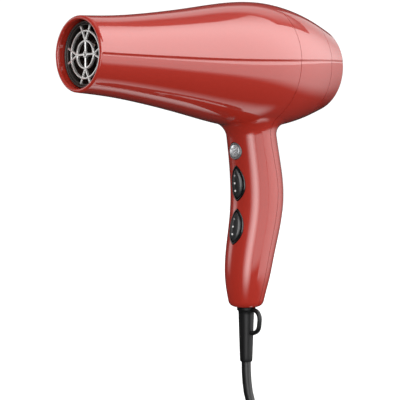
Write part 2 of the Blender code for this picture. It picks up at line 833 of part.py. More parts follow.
def rotor():
    """Shaft, armature, commutator and fan, which turn together on the barrel's axis."""
    centre = (0, 0, BARREL_Z)
    bore = SHAFT_R + GAP
    origin_at(rod("motor_shaft", SHAFT_X, SHAFT_R, "steel", 16), centre)
    outline = []
    for i in range(ARMATURE_SLOTS):
        for share, radius in ((-0.36, 1.0), (0.0, 1.0), (0.36, 1.0), (0.40, 0.80), (0.60, 0.80)):
            angle = 2 * math.pi * (i + share) / ARMATURE_SLOTS
            y, z = polar(radius * ARMATURE_R, angle)
            outline.append((y, BARREL_Z + z))
    armature = plate_yz("armature", outline, (STACK_X[0] - 0.002, STACK_X[1] + 0.002), "iron")
    boolean(armature, rod("bore", (-0.05, 0.02), bore, "iron", 16), "DIFFERENCE")
    origin_at(armature, centre)
    commutator_x = (STACK_X[0] - 0.0145, STACK_X[0] - 0.0075)
    origin_at(tube_ring("commutator", commutator_x, (bore, 0.0060), "copper", 24), centre)
    fan = tube_ring("fan_impeller", FAN_X, (bore, FAN_HUB_R), "black", 28)
    for i in range(FAN_BLADES):
        boolean(fan, fan_blade(2 * math.pi * i / FAN_BLADES), "UNION")
    origin_at(fan, centre)


def fan_blade(turn):
    """One blade, twisted about its own length, from the hub out to the tip."""
    half = 0.0007
    rings = []
    for radius in (FAN_HUB_R - 0.0015, 0.021, 0.030, FAN_R):
        pitch = FAN_TWIST * (1.25 - 0.5 * radius / FAN_R)
        reach = 0.0072
        ring = []
        for along, across in ((-1, -1), (-1, 1), (0, 1), (1, 1), (1, -1), (0, -1)):
            bow = 0.0014 * (1 - along * along)
            x = along * reach * math.sin(math.pi / 2 - pitch) + across * half * math.sin(pitch)
            side = along * reach * math.sin(pitch) * 1.4 - across * half * math.cos(pitch) + bow
            angle = turn + side / radius
            y, z = polar(radius, angle)
            ring.append(((FAN_X[0] + FAN_X[1]) / 2 + x, y, BARREL_Z + z))
        rings.append(ring)
    return loft("blade", rings, "black")


def fan_duct():
    """The duct round the fan and motor, with vanes that carry the motor's ring."""
    xs = spaced(*FAN_DUCT_X, 5)
    outer = [(x, barrel_radius(x) - WALL - 0.0006) for x in xs]
    inner = [(x, barrel_radius(x) - WALL - 0.0020) for x in reversed(xs)]
    duct = turned("fan_duct", outer + inner, "grey", BARREL_SIDES)
    boolean(duct, tube_ring("inner", VANE_RING_X, VANE_RING_R, "grey", 24), "UNION")
    for i in range(VANES):
        angle = 2 * math.pi * (i + 0.5) / VANES
        rings = []
        for radius in (VANE_RING_R[1] - 0.0007, barrel_radius(VANE_RING_X[0]) - WALL - 0.0014):
            ring = []
            for x, lean in ((VANE_RING_X[0] + 0.002, 0.10), (VANE_RING_X[1] - 0.001, -0.10)):
                for across in (-0.0007, 0.0007):
                    y, z = polar(radius, angle + lean + across / radius)
                    ring.append((x, y, BARREL_Z + z))
            rings.append([ring[0], ring[1], ring[3], ring[2]])
        boolean(duct, loft("vane", rings, "grey"), "UNION")


# ---------------------------------------------------------------- rear cap


def inlet_grille():
    """Domed black grille in the cap's rear opening: a flanged rim, rings, six bars and a boss."""
    lip = SHOULDER_X - 0.0005
    edge = REAR_OPENING_R - GAP
    rim = [
        (lip - 0.0016, edge - 0.0020),
        (lip - 0.0016, edge + 0.0024),
        (lip - GAP, edge + 0.0024),
        (lip - GAP, edge),
        (lip + 0.0050, edge),
        (lip + 0.0056, edge - 0.0006),
        (lip + 0.0056, edge - 0.0020),
    ]
    grille = turned("inlet_grille", rim, "black", BARREL_SIDES)

    def dome(radius):
        return lip + 0.0034 + 0.0030 * (1 - (radius / edge) ** 2)

    for radius in INLET_RINGS:
        x_range = (dome(radius), dome(radius) + INLET_DEPTH)
        ring = tube_ring("ring", x_range, (radius - 0.0007, radius + 0.0007), "black", 20)
        boolean(grille, ring, "UNION")
    near, far = dome(0), dome(0) + INLET_DEPTH
    boss = [(near, 0), (near, 0.0045), (far, 0.0045), (far + 0.0003, 0)]
    boolean(grille, turned("boss", boss, "black", 16), "UNION")
    low, high, half = 0.0002, INLET_DEPTH - 0.0003, 0.0006
    for i in range(INLET_BARS):
        angle = 2 * math.pi * (i + 0.5) / INLET_BARS
        rings = []
        for radius in (0.0036, 0.0155, edge - 0.0008):
            ring = []
            for x, across in ((low, -half), (low, half), (high, half), (high, -half)):
                y, z = polar(radius, angle)
                y -= across * math.sin(angle)
                z += across * math.cos(angle)
                ring.append((dome(radius) + x, y, BARREL_Z + z))
            rings.append(ring)
        boolean(grille, loft("spoke", rings, "black"), "UNION")


def dust_screen():
    """The fine screen behind the inlet grille, and the ring that holds it in the cap."""
    rod("filter_screen", (SCREEN_X, SCREEN_X + 0.0006), SCREEN_R, "steel", 32)
    x_range = (SCREEN_X - 0.0015, SCREEN_X + 0.0015)
    outer = barrel_radius(x_range[1]) - WALL - 2 * GAP
    tube_ring("filter_ring", x_range, (SCREEN_R + GAP, outer), "black", 40)


# ---------------------------------------------------------------- controls


def bezels_and_rockers():
    for name, z in zip(("speed", "heat"), ROCKER_Z):
        front = handle_front(z)
        pivot = (front + ROCKER_PIVOT_DEPTH, 0, z)
        inner = (LEAF_HALF[0] + RUNNING_GAP, LEAF_HALF[1] + RUNNING_GAP)
        outer = (inner[0] + BEZEL_WIDTH, inner[1] + BEZEL_WIDTH)
        outline = [(y, z + up) for y, up in leaf(*outer)]
        bezel = plate_yz(f"{name}_bezel", outline, (front - 0.0004, front + 0.0062), "black")
        outline = [(y, z + up) for y, up in leaf(*inner)]
        boolean(bezel, plate_yz("hole", outline, (front - 0.01, front + 0.01), "black"), "DIFFERENCE")
        pin_half = inner[1] + 0.0007
        axle = (pivot[0], -pin_half - 0.0005, z), (pivot[0], pin_half + 0.0005, z)
        boolean(bezel, peg("hole", *axle, 0.0012, "black", 12), "DIFFERENCE")

        rings = []
        for scale, proud in ROCKER_DOME:
            half = (LEAF_HALF[0] * scale, LEAF_HALF[1] * scale)
            rings.append([(front - proud, y, z + up) for y, up in leaf(*half)])
        rocker = loft(f"{name}_rocker", rings, "black")
        pins = (pivot[0], -pin_half, z), (pivot[0], pin_half, z)
        boolean(rocker, peg("pins", *pins, 0.0009, "black", 12), "UNION")
        stem = (front + 0.0025, -0.0013, z - 0.0018), (front + 0.0066, 0.0013, z + 0.0018)
        boolean(rocker, box("stem", *stem, "black"), "UNION")
        origin_at(rocker, pivot)

        low = (front + 0.0072, -0.0058, z - 0.0118)
        high = (front + 0.0190, 0.0058, z + 0.0118)
        box(f"{name}_switch", low, high, "grey")


def cool_shot():
    """Button, its ring, its spring and the microswitch behind it."""
    x = handle_front(COOL_Z)
    span = (x - 0.0004, 0, COOL_Z), (x + 0.0050, 0, COOL_Z)
    ring = peg("cool_shot_ring", *span, COOL_R + COOL_RING, "black", 24)
    bore = (x - 0.01, 0, COOL_Z), (x + 0.01, 0, COOL_Z)
    boolean(ring, peg("bore", *bore, COOL_R + GAP, "black", 24), "DIFFERENCE")
    rings = []
    for depth, radius in ((0.0032, 1.0), (0.0002, 1.0), (-0.0005, 0.86), (-0.0009, 0.5)):
        circle = [polar(COOL_R * radius, 2 * math.pi * i / 24) for i in range(24)]
        rings.append([(x + depth, y, COOL_Z + z) for y, z in circle])
    button = loft("cool_shot_button", rings, "steel")
    stem = (x + 0.0030, 0, COOL_Z), (x + 0.0052, 0, COOL_Z)
    boolean(button, peg("stem", *stem, 0.0012, "steel", 12), "UNION")
    origin_at(button, (x, 0, COOL_Z))
    low = (x + 0.0075, -0.0030, COOL_Z - 0.0050)
    high = (x + 0.0135, 0.0030, COOL_Z + 0.0050)
    box("cool_shot_switch", low, high, "grey")
    points = []
    for i in range(31):
        angle = 2 * math.pi * i / 10
        y, z = polar(0.0024, angle)
        points.append((x + 0.0039 + 0.0028 * i / 30, y, COOL_Z + z))
    tube("cool_shot_spring", points, 0.00035, "steel", resolution=0)


# ---------------------------------------------------------------- wiring in the handle


def wiring():
    box("suppression_capacitor", (-0.0190, -0.0055, -0.0560), (-0.0085, 0.0055, -0.0420), "blue")
    box("terminal_block", (-0.0060, -0.0075, -0.0570), (0.0045, 0.0075, -0.0450), "ivory")
    z = CLAMP_Z
    through = (z - 0.01, z + 0.01)
    low, high = (-0.0176, -0.0090, z - 0.0020), (-0.0048, 0.0090, z + 0.0020)
    clamp = box("cord_clamp", low, high, "grey")
    for name, y in (("left", -0.0064), ("right", 0.0064)):
        place = (BOOT_X, y)
        boolean(clamp, pillar("hole", place, 0.0015, through, "grey", 12), "DIFFERENCE")
        shank = (z - 0.0045, z + 0.0028)
        screw = pillar(f"clamp_screw_{name}", place, 0.0011, shank, "steel", 12)
        head = pillar("head", place, 0.0021, (z + 0.0023, z + 0.0038), "steel", 12)
        boolean(screw, head, "UNION")
    hole = pillar("hole", (BOOT_X, 0), CORD_R + GAP, through, "grey", 16)
    boolean(clamp, hole, "DIFFERENCE")
    pillar("inner_cord", (BOOT_X, 0), CORD_R, (BOOT_TOP + 0.0070, z + 0.0036), "rubber", 12)

    for name, side, colour in (("lead_live", -1, "brown"), ("lead_neutral", 1, "blue")):
        route = [(x, side * y, z) for x, y, z in LEAD_ROUTE]
        tube(name, smooth_path(route, 0.005), LEAD_R, colour, resolution=1)


# ---------------------------------------------------------------- strain relief and cord


def strain_relief():
    """Flange and neck in the handle, then collar, tapered boot and hang loop, in one piece."""
    steps = [
        (BOOT_TOP + 0.0066, COLLAR_R - 0.0010),
        (BOOT_TOP + WALL + 0.0010, COLLAR_R - 0.0010),
        (BOOT_TOP + WALL + 0.0010, NECK_R),
        (BOOT_TOP, NECK_R),
        (BOOT_TOP, COLLAR_R),
        (BOOT_TOP - 0.0024, COLLAR_R),
        (BOOT_TOP - 0.0032, BOOT_R[0]),
        (BOOT_END + 0.0045, BOOT_R[1] + 0.0003),
        (BOOT_END + 0.0012, BOOT_R[1]),
        (BOOT_END, BOOT_R[1] - 0.0008),
    ]
    rings = []
    for z, radius in steps:
        circle = [polar(radius, 2 * math.pi * i / 16) for i in range(16)]
        rings.append([(BOOT_X + x, y, z) for x, y in circle])
    boot = loft("strain_relief", rings, "black")
    boolean(boot, hang_loop(), "UNION")


def hang_loop():
    """A round bar that leaves the collar, runs down beside the boot and turns back into it."""
    top = BOOT_TOP - 0.0019
    reach = -LOOP_REACH
    route = [
        (0.0, -0.0040, top),
        (0.0, -0.0095, top - 0.0001),
        (0.0, reach + 0.0022, top - 0.0012),
        (0.0, reach, top - 0.0045),
        (0.0, reach, LOOP_BOTTOM + 0.0080),
        (0.0, reach + 0.0010, LOOP_BOTTOM + 0.0040),
        (0.0, reach + 0.0046, LOOP_BOTTOM + 0.0010),
        (0.0, -0.0040, LOOP_BOTTOM),
    ]
    points = smooth_path([(BOOT_X + x, y, z) for x, y, z in route], 0.0022)
    rings = []
    for i, point in enumerate(points):
        ahead = (points[min(i + 1, len(points) - 1)] - points[max(i - 1, 0)]).normalized()
        side = Vector((1, 0, 0))
        up = ahead.cross(side)
        ring = []
        for k in range(8):
            across, out = polar(LOOP_BAR_R, 2 * math.pi * k / 8)
            ring.append(point + side * across * 1.15 + up * out)
        rings.append(ring)
    return loft("loop", rings, "black")


def coil_radius(row):
    return COIL_MEAN_R + (row - (COIL_ROWS - 1) / 2) * 2 * CORD_R


def landing():
    """Where the cord meets the coil's outer turn, and the level direction that it runs in."""
    heading = Vector((*CORD_HEADING, 0)).normalized()
    out = Vector((heading.y, -heading.x, 0))
    centre = Vector((*COIL_CENTRE, COIL_BASE + CORD_R * 3))
    return centre + out * coil_radius(COIL_ROWS - 1), heading


def falling_arc(angle):
    """A point of the bend that brings the hanging cord down onto the coil."""
    place, heading = landing()
    rise = Vector((0, 0, CORD_BEND_R * (1 - math.cos(angle))))
    return place - heading * CORD_BEND_R * math.sin(angle) + rise


def cord_coil():
    """The outer shape of the wound turns, with the stubs where the cord joins and leaves them."""
    r0 = coil_radius(0) - CORD_R
    r1 = coil_radius(COIL_ROWS - 1) + CORD_R
    z0 = COIL_BASE
    z1 = COIL_BASE + COIL_LAYERS * 2 * CORD_R
    c = 0.0015
    profile = [(r0, z0 + c), (r0 + c, z0), (r1 - c, z0), (r1, z0 + c)]
    profile += [(r1, z1 - c), (r1 - c, z1), (r0 + c, z1), (r0, z1 - c)]
    bm = bmesh.new()
    rings = []
    for r, z in profile:
        ring = []
        for i in range(32):
            x, y = polar(r, 2 * math.pi * i / 32)
            ring.append(bm.verts.new((COIL_CENTRE[0] + x, COIL_CENTRE[1] + y, z)))
        rings.append(ring)
    skin(bm, rings, closed_loop=True)
    coil = finish("cord_coil", bm, "rubber")
    arc = [falling_arc(STUB_ANGLE * (1 - i / 5)) for i in range(6)]
    boolean(coil, round_bar("stub", arc, CORD_R), "UNION")
    y = COIL_CENTRE[1] + coil_radius(COIL_ROWS - 1)
    z = COIL_BASE + CORD_R + 0.0001
    ends = (COIL_CENTRE[0], y, z), (TAIL_ROUTE[0][0] + GAP, y, z)
    boolean(coil, round_bar("stub", [Vector(p) for p in ends], CORD_R - 0.0001), "UNION")


def round_bar(name, points, radius, sides=12):
    rings = []
    for i, point in enumerate(points):
        ahead = (points[min(i + 1, len(points) - 1)] - points[max(i - 1, 0)]).normalized()
        side = ahead.cross(Vector((0, 0, 1))).normalized()
        up = side.cross(ahead)
        ring = []
        for k in range(sides):
            across, rise = polar(radius, 2 * math.pi * k / sides)
            ring.append(point + side * across + up * rise)
        rings.append(ring)
    return loft(name, rings, "rubber")


def cord():
    end = falling_arc(STUB_ANGLE + 2 * GAP / CORD_BEND_R)
    start = Vector(CORD_ROUTE[0]) - Vector((0, 0, GAP))
    route = [start] + [Vector(p) for p in CORD_ROUTE[1:]]
    route += [falling_arc(angle) for angle in CORD_ARC] + [end]
    tube("cord", smooth_path(route, 2.2 * CORD_R), CORD_R, "rubber", resolution=2)
    tail = [Vector(p) for p in TAIL_ROUTE]
    tube("cord_tail", smooth_path(tail, 2.2 * CORD_R), CORD_R, "rubber", resolution=2)


def cord_tie():
    """A band round the coil's section."""
    r0 = coil_radius(0) - CORD_R - GAP - TIE_THICK
    r1 = coil_radius(COIL_ROWS - 1) + CORD_R + GAP
    z0 = COIL_BASE - GAP
    z1 = COIL_BASE + COIL_LAYERS * 2 * CORD_R + GAP
    out = Vector((math.cos(TIE_ANGLE), math.sin(TIE_ANGLE), 0))
    side = Vector((-out.y, out.x, 0)) * TIE_HALF_WIDTH
    middle = Vector((*COIL_CENTRE, 0))

    def slab(name, grow):
        low, high = z0 - grow, z1 + grow
        corners = [(r0 - grow, low), (r1 + grow, low), (r1 + grow, high), (r0 - grow, high)]
        wide = side if grow else side * 1.5
        rings = []
        for shift in (-wide, wide):
            rings.append([middle + out * r + shift + Vector((0, 0, z)) for r, z in corners])
        return loft(name, rings, "black")

    boolean(slab("cord_tie", TIE_THICK), slab("hole", 0), "DIFFERENCE")


def plug():
    """Two-pin mains plug lying flat, at the end of the tail."""
    start = Vector(TAIL_ROUTE[-1])
    ahead = (start - Vector(TAIL_ROUTE[-2])).normalized()
    side = Vector((-ahead.y, ahead.x, 0))
    lift = Vector((0, 0, 1))
    rings = []
    for along, wide, tall in (
        (GAP, 0.0048, 0.0037),
        (0.010, 0.0058, 0.0045),
        (0.016, 0.0115, 0.0068),
        (0.022, 0.0150, 0.0082),
        (PLUG_LENGTH - 0.002, 0.0160, PLUG_HALF_HEIGHT),
        (PLUG_LENGTH, 0.0152, 0.0077),
    ):
        centre = start + ahead * along
        centre.z = FLOOR_Z + PLUG_LIFT + tall
        ring = []
        for i in range(20):
            across, rise = polar(1, 2 * math.pi * i / 20)
            across = math.copysign(abs(across) ** 0.7, across) * wide
            rise = math.copysign(abs(rise) ** 0.7, rise) * tall
            ring.append(centre + side * across + lift * rise)
        rings.append(ring)
    loft("plug", rings, "black")
    face = start + ahead * (PLUG_LENGTH + GAP)
    face.z = FLOOR_Z + PLUG_LIFT + PLUG_HALF_HEIGHT
    for name, way in (("left", 1), ("right", -1)):
        root = face + side * way * PIN_OFFSET
        peg(f"plug_pin_{name}", root, root + ahead * PIN_LENGTH, PIN_R, "brass", 12)


def main():
    clear_scene()
    housing()
    handle_screws()
    air_duct()
    outlet_grille()
    mica_sleeve()
    mica_boards()
    heater_coils()
    heater_guards()
    motor()
    rotor()
    fan_duct()
    inlet_grille()
    dust_screen()
    bezels_and_rockers()
    cool_shot()
    wiring()
    strain_relief()
    cord_coil()
    cord()
    cord_tie()
    plug()


main()
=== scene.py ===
"""The looks of a red salon hair dryer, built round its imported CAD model.

Metres, in the CAD's frame: the barrel lies along X with its nozzle facing -X, and the origin is
the middle of the hand grip. The fine shells repeat the curves that the CAD part is drawn with.
"""

import math

import bmesh
import bpy
import numpy as np
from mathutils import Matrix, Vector


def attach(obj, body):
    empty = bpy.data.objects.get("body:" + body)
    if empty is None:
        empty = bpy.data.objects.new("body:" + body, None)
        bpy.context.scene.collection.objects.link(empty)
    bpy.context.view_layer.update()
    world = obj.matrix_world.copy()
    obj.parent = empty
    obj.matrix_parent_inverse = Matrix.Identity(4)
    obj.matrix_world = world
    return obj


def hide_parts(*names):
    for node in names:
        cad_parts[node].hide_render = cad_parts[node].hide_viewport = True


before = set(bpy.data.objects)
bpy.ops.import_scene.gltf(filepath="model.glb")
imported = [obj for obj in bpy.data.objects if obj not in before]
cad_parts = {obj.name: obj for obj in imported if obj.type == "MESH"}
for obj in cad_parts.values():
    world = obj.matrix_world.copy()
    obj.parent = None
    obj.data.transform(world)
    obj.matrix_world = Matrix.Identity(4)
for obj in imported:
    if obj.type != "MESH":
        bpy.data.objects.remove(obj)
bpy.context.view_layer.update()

# ---------------------------------------------------------------- sizes that the CAD part shares

BARREL_Z = 0.100
BARREL_OUTLINE = [
    (-0.174, 0.0265),
    (-0.145, 0.0286),
    (-0.110, 0.0332),
    (-0.075, 0.0392),
    (-0.040, 0.0457),
    (-0.006, 0.0488),
    (0.020, 0.0464),
    (0.042, 0.0413),
    (0.062, 0.0346),
]
MOUTH_X = BARREL_OUTLINE[0][0]
SHOULDER_X, SHOULDER_R = BARREL_OUTLINE[-1]
REAR_EDGE_R = 0.0050
REAR_OPENING_R = 0.0292
REAR_LIP_X = SHOULDER_X - 0.0005
REAR_INNER_R = 0.0326
LIP_DEPTH = 0.0014
LIP_MIDDLE_R = 0.0251
LIP_INNER_R = 0.0237
LIP_BLEND = 0.006
WALL = 0.0020
HANDLE_LINE = [
    (-0.0880, -0.0115, 0.0130),
    (-0.0780, -0.0112, 0.0152),
    (-0.0660, -0.0101, 0.0175),
    (-0.0500, -0.0078, 0.0191),
    (-0.0300, -0.0034, 0.0202),
    (-0.0100, 0.0000, 0.0208),
    (0.0080, 0.0000, 0.0208),
    (0.0260, -0.0024, 0.0202),
    (0.0450, -0.0058, 0.0197),
    (0.0700, -0.0100, 0.0197),
]
HANDLE_BOTTOM = -0.0884
HANDLE_EDGE_R = 0.0042
HANDLE_STRETCH_X = 1.02
HANDLE_STRETCH_Y = 0.98
HANDLE_FILLET = 0.0085
PARTING_LINE = [
    (-0.1000, -0.0112),
    (-0.0680, -0.0082),
    (-0.0480, -0.0048),
    (-0.0280, -0.0006),
    (-0.0080, 0.0030),
    (0.0080, 0.0032),
    (0.0270, -0.0004),
    (0.0520, -0.0044),
    (0.0750, -0.0018),
    (0.1000, -0.0010),
    (0.1600, -0.0010),
]
CAP_X = 0.0415
SEAM_GAP = 0.0004
COOL_Z = 0.0334
COOL_R = 0.0050
COOL_RING = 0.0015
COOL_HOLE_R = COOL_R + 0.0018
BUTTON_SIDES = 144
BUTTON_BACK = 0.0032
STEM_R = 0.0012
STEM_END = 0.0052
CUP_R = 0.0031
CUP_FLOOR = 0.0016
FLAKE_BRANCHES = (0.34, 0.58)
FLAKE_BRANCH = 0.24
FLAKE_ARM = 0.085
FLAKE_HEIGHT = 0.00022
ROCKER_Z = (0.0084, -0.0252)
LEAF_HALF = (0.0118, 0.0052)
BEZEL_WIDTH = 0.0015
RUNNING_GAP = 0.0006
ROCKER_TIP_SHARE = 0.975
ROCKER_BACK_SHARE = 0.96
ROCKER_DEPTH = 0.0030
ROCKER_CREST = 0.0003
ROCKER_SHARES = (1.0, 0.985, 0.96, 0.92, 0.86, 0.78, 0.69, 0.59, 0.48, 0.36, 0.24, 0.12)
LEAF_POINTS = 96
BEZEL_LIP = [(0.0, 0.0), (0.15, 0.00042), (0.5, 0.00055), (0.85, 0.00042), (1.0, 0.0)]
DOT_STEP = 0.0058
DOT_R = 0.0008
# The upper dot's grey is painted shade: it is the same white print as the other two, darkened.
DOTS = [("upper", DOT_STEP, "dot_painted_shade"), ("middle", 0.0, "dot"), ("lower", -DOT_STEP, "dot")]
SCREW_Z = (0.0243, -0.0640)
SCREW_HEAD_R = 0.0026
SCREW_SHANK_R = 0.0012
SCREW_SEAT_DEPTH = 0.003
SCREW_SEAT_FLOOR = 0.0012
SCREW_WELL_WALL = 0.0014
HOLE_GAP = 0.0003
BOOT_X = -0.0112
BOOT_TOP = HANDLE_BOTTOM - 0.0003
BOOT_END = -0.1320
BOOT_R = (0.0062, 0.0049)
COLLAR_R = 0.0073
NECK_R = 0.0046
LOOP_REACH = 0.0145
LOOP_BAR_R = 0.0017
LOOP_BOTTOM = -0.1090
DUCT_MOUTH_R = 0.0232
DUCT_FRONT_X = -0.1685
DUCT_WALL = 0.0014
DUCT_REAR_X = -0.058
DUCT_INSET = 0.0032
GRILLE_X = -0.1678
GRILLE_DEPTH = 0.0020
GRILLE_HUB_R = 0.0023
GRILLE_RINGS = (0.0094, 0.0164)
GRILLE_BAR = 0.0013
GRILLE_V_ANGLE = math.radians(27)
GRILLE_RIM_R = DUCT_MOUTH_R - DUCT_WALL - 0.0003
INLET_RINGS = (0.0095, 0.0155, 0.0215)
INLET_DEPTH = 0.0022
INLET_RING_HALF = 0.0007
INLET_BARS = 6

# The cord repeats the CAD's route: down from the boot, over onto the coil, and on to the plug.
CORD_R = 0.0037
FLOOR_Z = -0.2120
COIL_CENTRE = (0.0622, 0.0021)
COIL_MEAN_R = 0.0435
COIL_BASE = FLOOR_Z + 0.0010
CORD_HEADING = (0.741, -0.672)
CORD_BEND_R = 0.052
CORD_ROUTE = [
    (-0.0112, 0.0000, -0.1320),
    (-0.0111, -0.0001, -0.1400),
    (-0.0106, -0.0006, -0.1500),
]
CORD_ARC = [math.radians(angle) for angle in (70, 60, 50, 41, 33, 25, 17, 9)]
TAIL_ROUTE = [
    (0.0282, 0.0530, -0.2073),
    (0.0130, 0.0530, -0.2073),
    (-0.0040, 0.0505, -0.2073),
    (-0.0200, 0.0455, -0.2073),
]

COIL_WHOLE_TURNS = 5
COIL_SHIFT = 0.22
COIL_POINTS = 30
TIE_ANGLE = math.radians(-20)
TIE_HALF = 0.0050
PIN_SPREAD = 0.0095
PIN = [(0.0, 0.0022), (0.0168, 0.0022), (0.0182, 0.0019), (0.0188, 0.0013), (0.0190, 0.0006)]
PIN_SLEEVE = [(0.0, 0.0024), (0.0097, 0.0024), (0.0100, 0.00222)]
PIN_PARTS = [("", PIN, "brass", "brass"), ("_sleeve", PIN_SLEEVE, "black", "black_plastic")]
PLUG_LENGTH = 0.036
PLUG_FORM = [
    (0.0003, 0.0048, 0.0037),
    (0.0100, 0.0058, 0.0045),
    (0.0160, 0.0115, 0.0068),
    (0.0220, 0.0150, 0.0082),
    (0.0340, 0.0160, 0.0085),
    (0.0360, 0.0160, 0.0085),
]

# Camera: where it stands, what it looks at, and its lens on a 36 mm wide sensor.
CAMERA_PLACE = Vector((-0.6680, -0.6703, 0.0333))
CAMERA_TARGET = Vector((-0.0398, 0.0225, -0.0048))
LENS = 108


def smooth_curve(points):
    """A function that passes through (position, value) points as a natural cubic spline."""
    x, y = np.array(points, float).T
    n = len(x)
    h = np.diff(x)
    matrix = np.eye(n)
    right = np.zeros(n)
    for i in range(1, n - 1):
        matrix[i, i - 1 : i + 2] = h[i - 1], 2 * (h[i - 1] + h[i]), h[i]
        right[i] = 6 * ((y[i + 1] - y[i]) / h[i] - (y[i] - y[i - 1]) / h[i - 1])
    bend = np.linalg.solve(matrix, right)

    def value(at):
        at = np.asarray(at, float)
        i = np.clip(np.searchsorted(x, at) - 1, 0, n - 2)
        a = (x[i + 1] - at) / h[i]
        b = 1 - a
        curved = ((a**3 - a) * bend[i] + (b**3 - b) * bend[i + 1]) * h[i] ** 2 / 6
        return a * y[i] + b * y[i + 1] + curved

    return value


def smooth_path(route, spacing):
    """Points about spacing apart on a smooth curve through a route's points."""
    route = np.array(route, float)
    steps = np.linalg.norm(np.diff(route, axis=0), axis=1)
    along = np.concatenate([[0], np.cumsum(steps)])
    curves = [smooth_curve(list(zip(along, route[:, k]))) for k in range(3)]
    count = max(3, round(along[-1] / spacing) + 1)
    at = np.linspace(0, along[-1], count)
    return np.stack([curve(at) for curve in curves], axis=1)


barrel_radius = smooth_curve(BARREL_OUTLINE)
handle_x = smooth_curve([(z, x) for z, x, _ in HANDLE_LINE])
handle_half = smooth_curve([(z, half) for z, _, half in HANDLE_LINE])
parting_x = smooth_curve(PARTING_LINE)


def handle_front(z):
    """x of the handle's front surface at height z."""
    return float(handle_x(z) - handle_half(z) * HANDLE_STRETCH_X)


def polar(radius, angle):
    return (radius * math.cos(angle), radius * math.sin(angle))


def circle(radius, sides):
    """Points round a circle, as offsets from its centre."""
    return [polar(radius, 2 * math.pi * i / sides) for i in range(sides)]


def in_scene(name, data):
    """A new object that holds the data and is linked to the scene."""
    obj = bpy.data.objects.new(name, data)
    bpy.context.scene.collection.objects.link(obj)
    return obj


def mesh_of(name, bm):
    """A mesh with a bmesh's faces. The bmesh is used up."""
    mesh = bpy.data.meshes.new(name)
    bm.to_mesh(mesh)
    bm.free()
    return mesh


# ---------------------------------------------------------------- materials


def links(tree, *pairs):
    """Links pairs of an output and an input."""
    for start, end in pairs:
        tree.links.new(start, end)


def node(tree, kind, **values):
    """A shader node, with its inputs set by name and its own settings by attribute."""
    made = tree.nodes.new("ShaderNode" + kind)
    for key, value in values.items():
        if hasattr(made, key):
            setattr(made, key, value)
        else:
            made.inputs[key.replace("_", " ")].default_value = value
    return made


def surface(name, colour, roughness, metallic=0.0, grain=(900, 0.02), mottle=(60, 0.06), **shader):
    """A procedural material: colour and roughness vary softly, and a fine grain raises it.

    grain is (scale, height in mm, kind of texture) of the bump, and mottle is (scale, share) of the
    soft variation."""
    pattern = grain[2] if len(grain) > 2 else "Noise"
    made = bpy.data.materials.new(name)
    made.use_nodes = True
    tree = made.node_tree
    principled = tree.nodes["Principled BSDF"]
    principled.inputs["Metallic"].default_value = metallic
    for key, value in shader.items():
        principled.inputs[key.replace("_", " ")].default_value = value
    place = node(tree, "TexCoord").outputs["Object"]
    soft = node(tree, "TexNoise", Scale=mottle[0], Detail=4.0)
    light = [min(1.0, c * (1 + mottle[1])) for c in colour]
    dark = [c * (1 - mottle[1]) for c in colour]
    mix = node(tree, "Mix", data_type="RGBA")
    mix.inputs[6].default_value = (*dark, 1)
    mix.inputs[7].default_value = (*light, 1)
    rough = node(tree, "MapRange", To_Min=roughness * 0.85, To_Max=roughness * 1.15)
    fine = node(tree, "Tex" + pattern, Scale=grain[0])
    bump = node(tree, "Bump", Strength=0.6, Distance=grain[1] / 1000)
    links(
        tree,
        (place, soft.inputs["Vector"]),
        (place, fine.inputs["Vector"]),
        (soft.outputs["Fac"], mix.inputs[0]),
        (mix.outputs[2], principled.inputs["Base Color"]),
        (soft.outputs["Fac"], rough.inputs["Value"]),
        (rough.outputs["Result"], principled.inputs["Roughness"]),
        (fine.outputs["Fac"], bump.inputs["Height"]),
        (bump.outputs["Normal"], principled.inputs["Normal"]),
    )
    return made


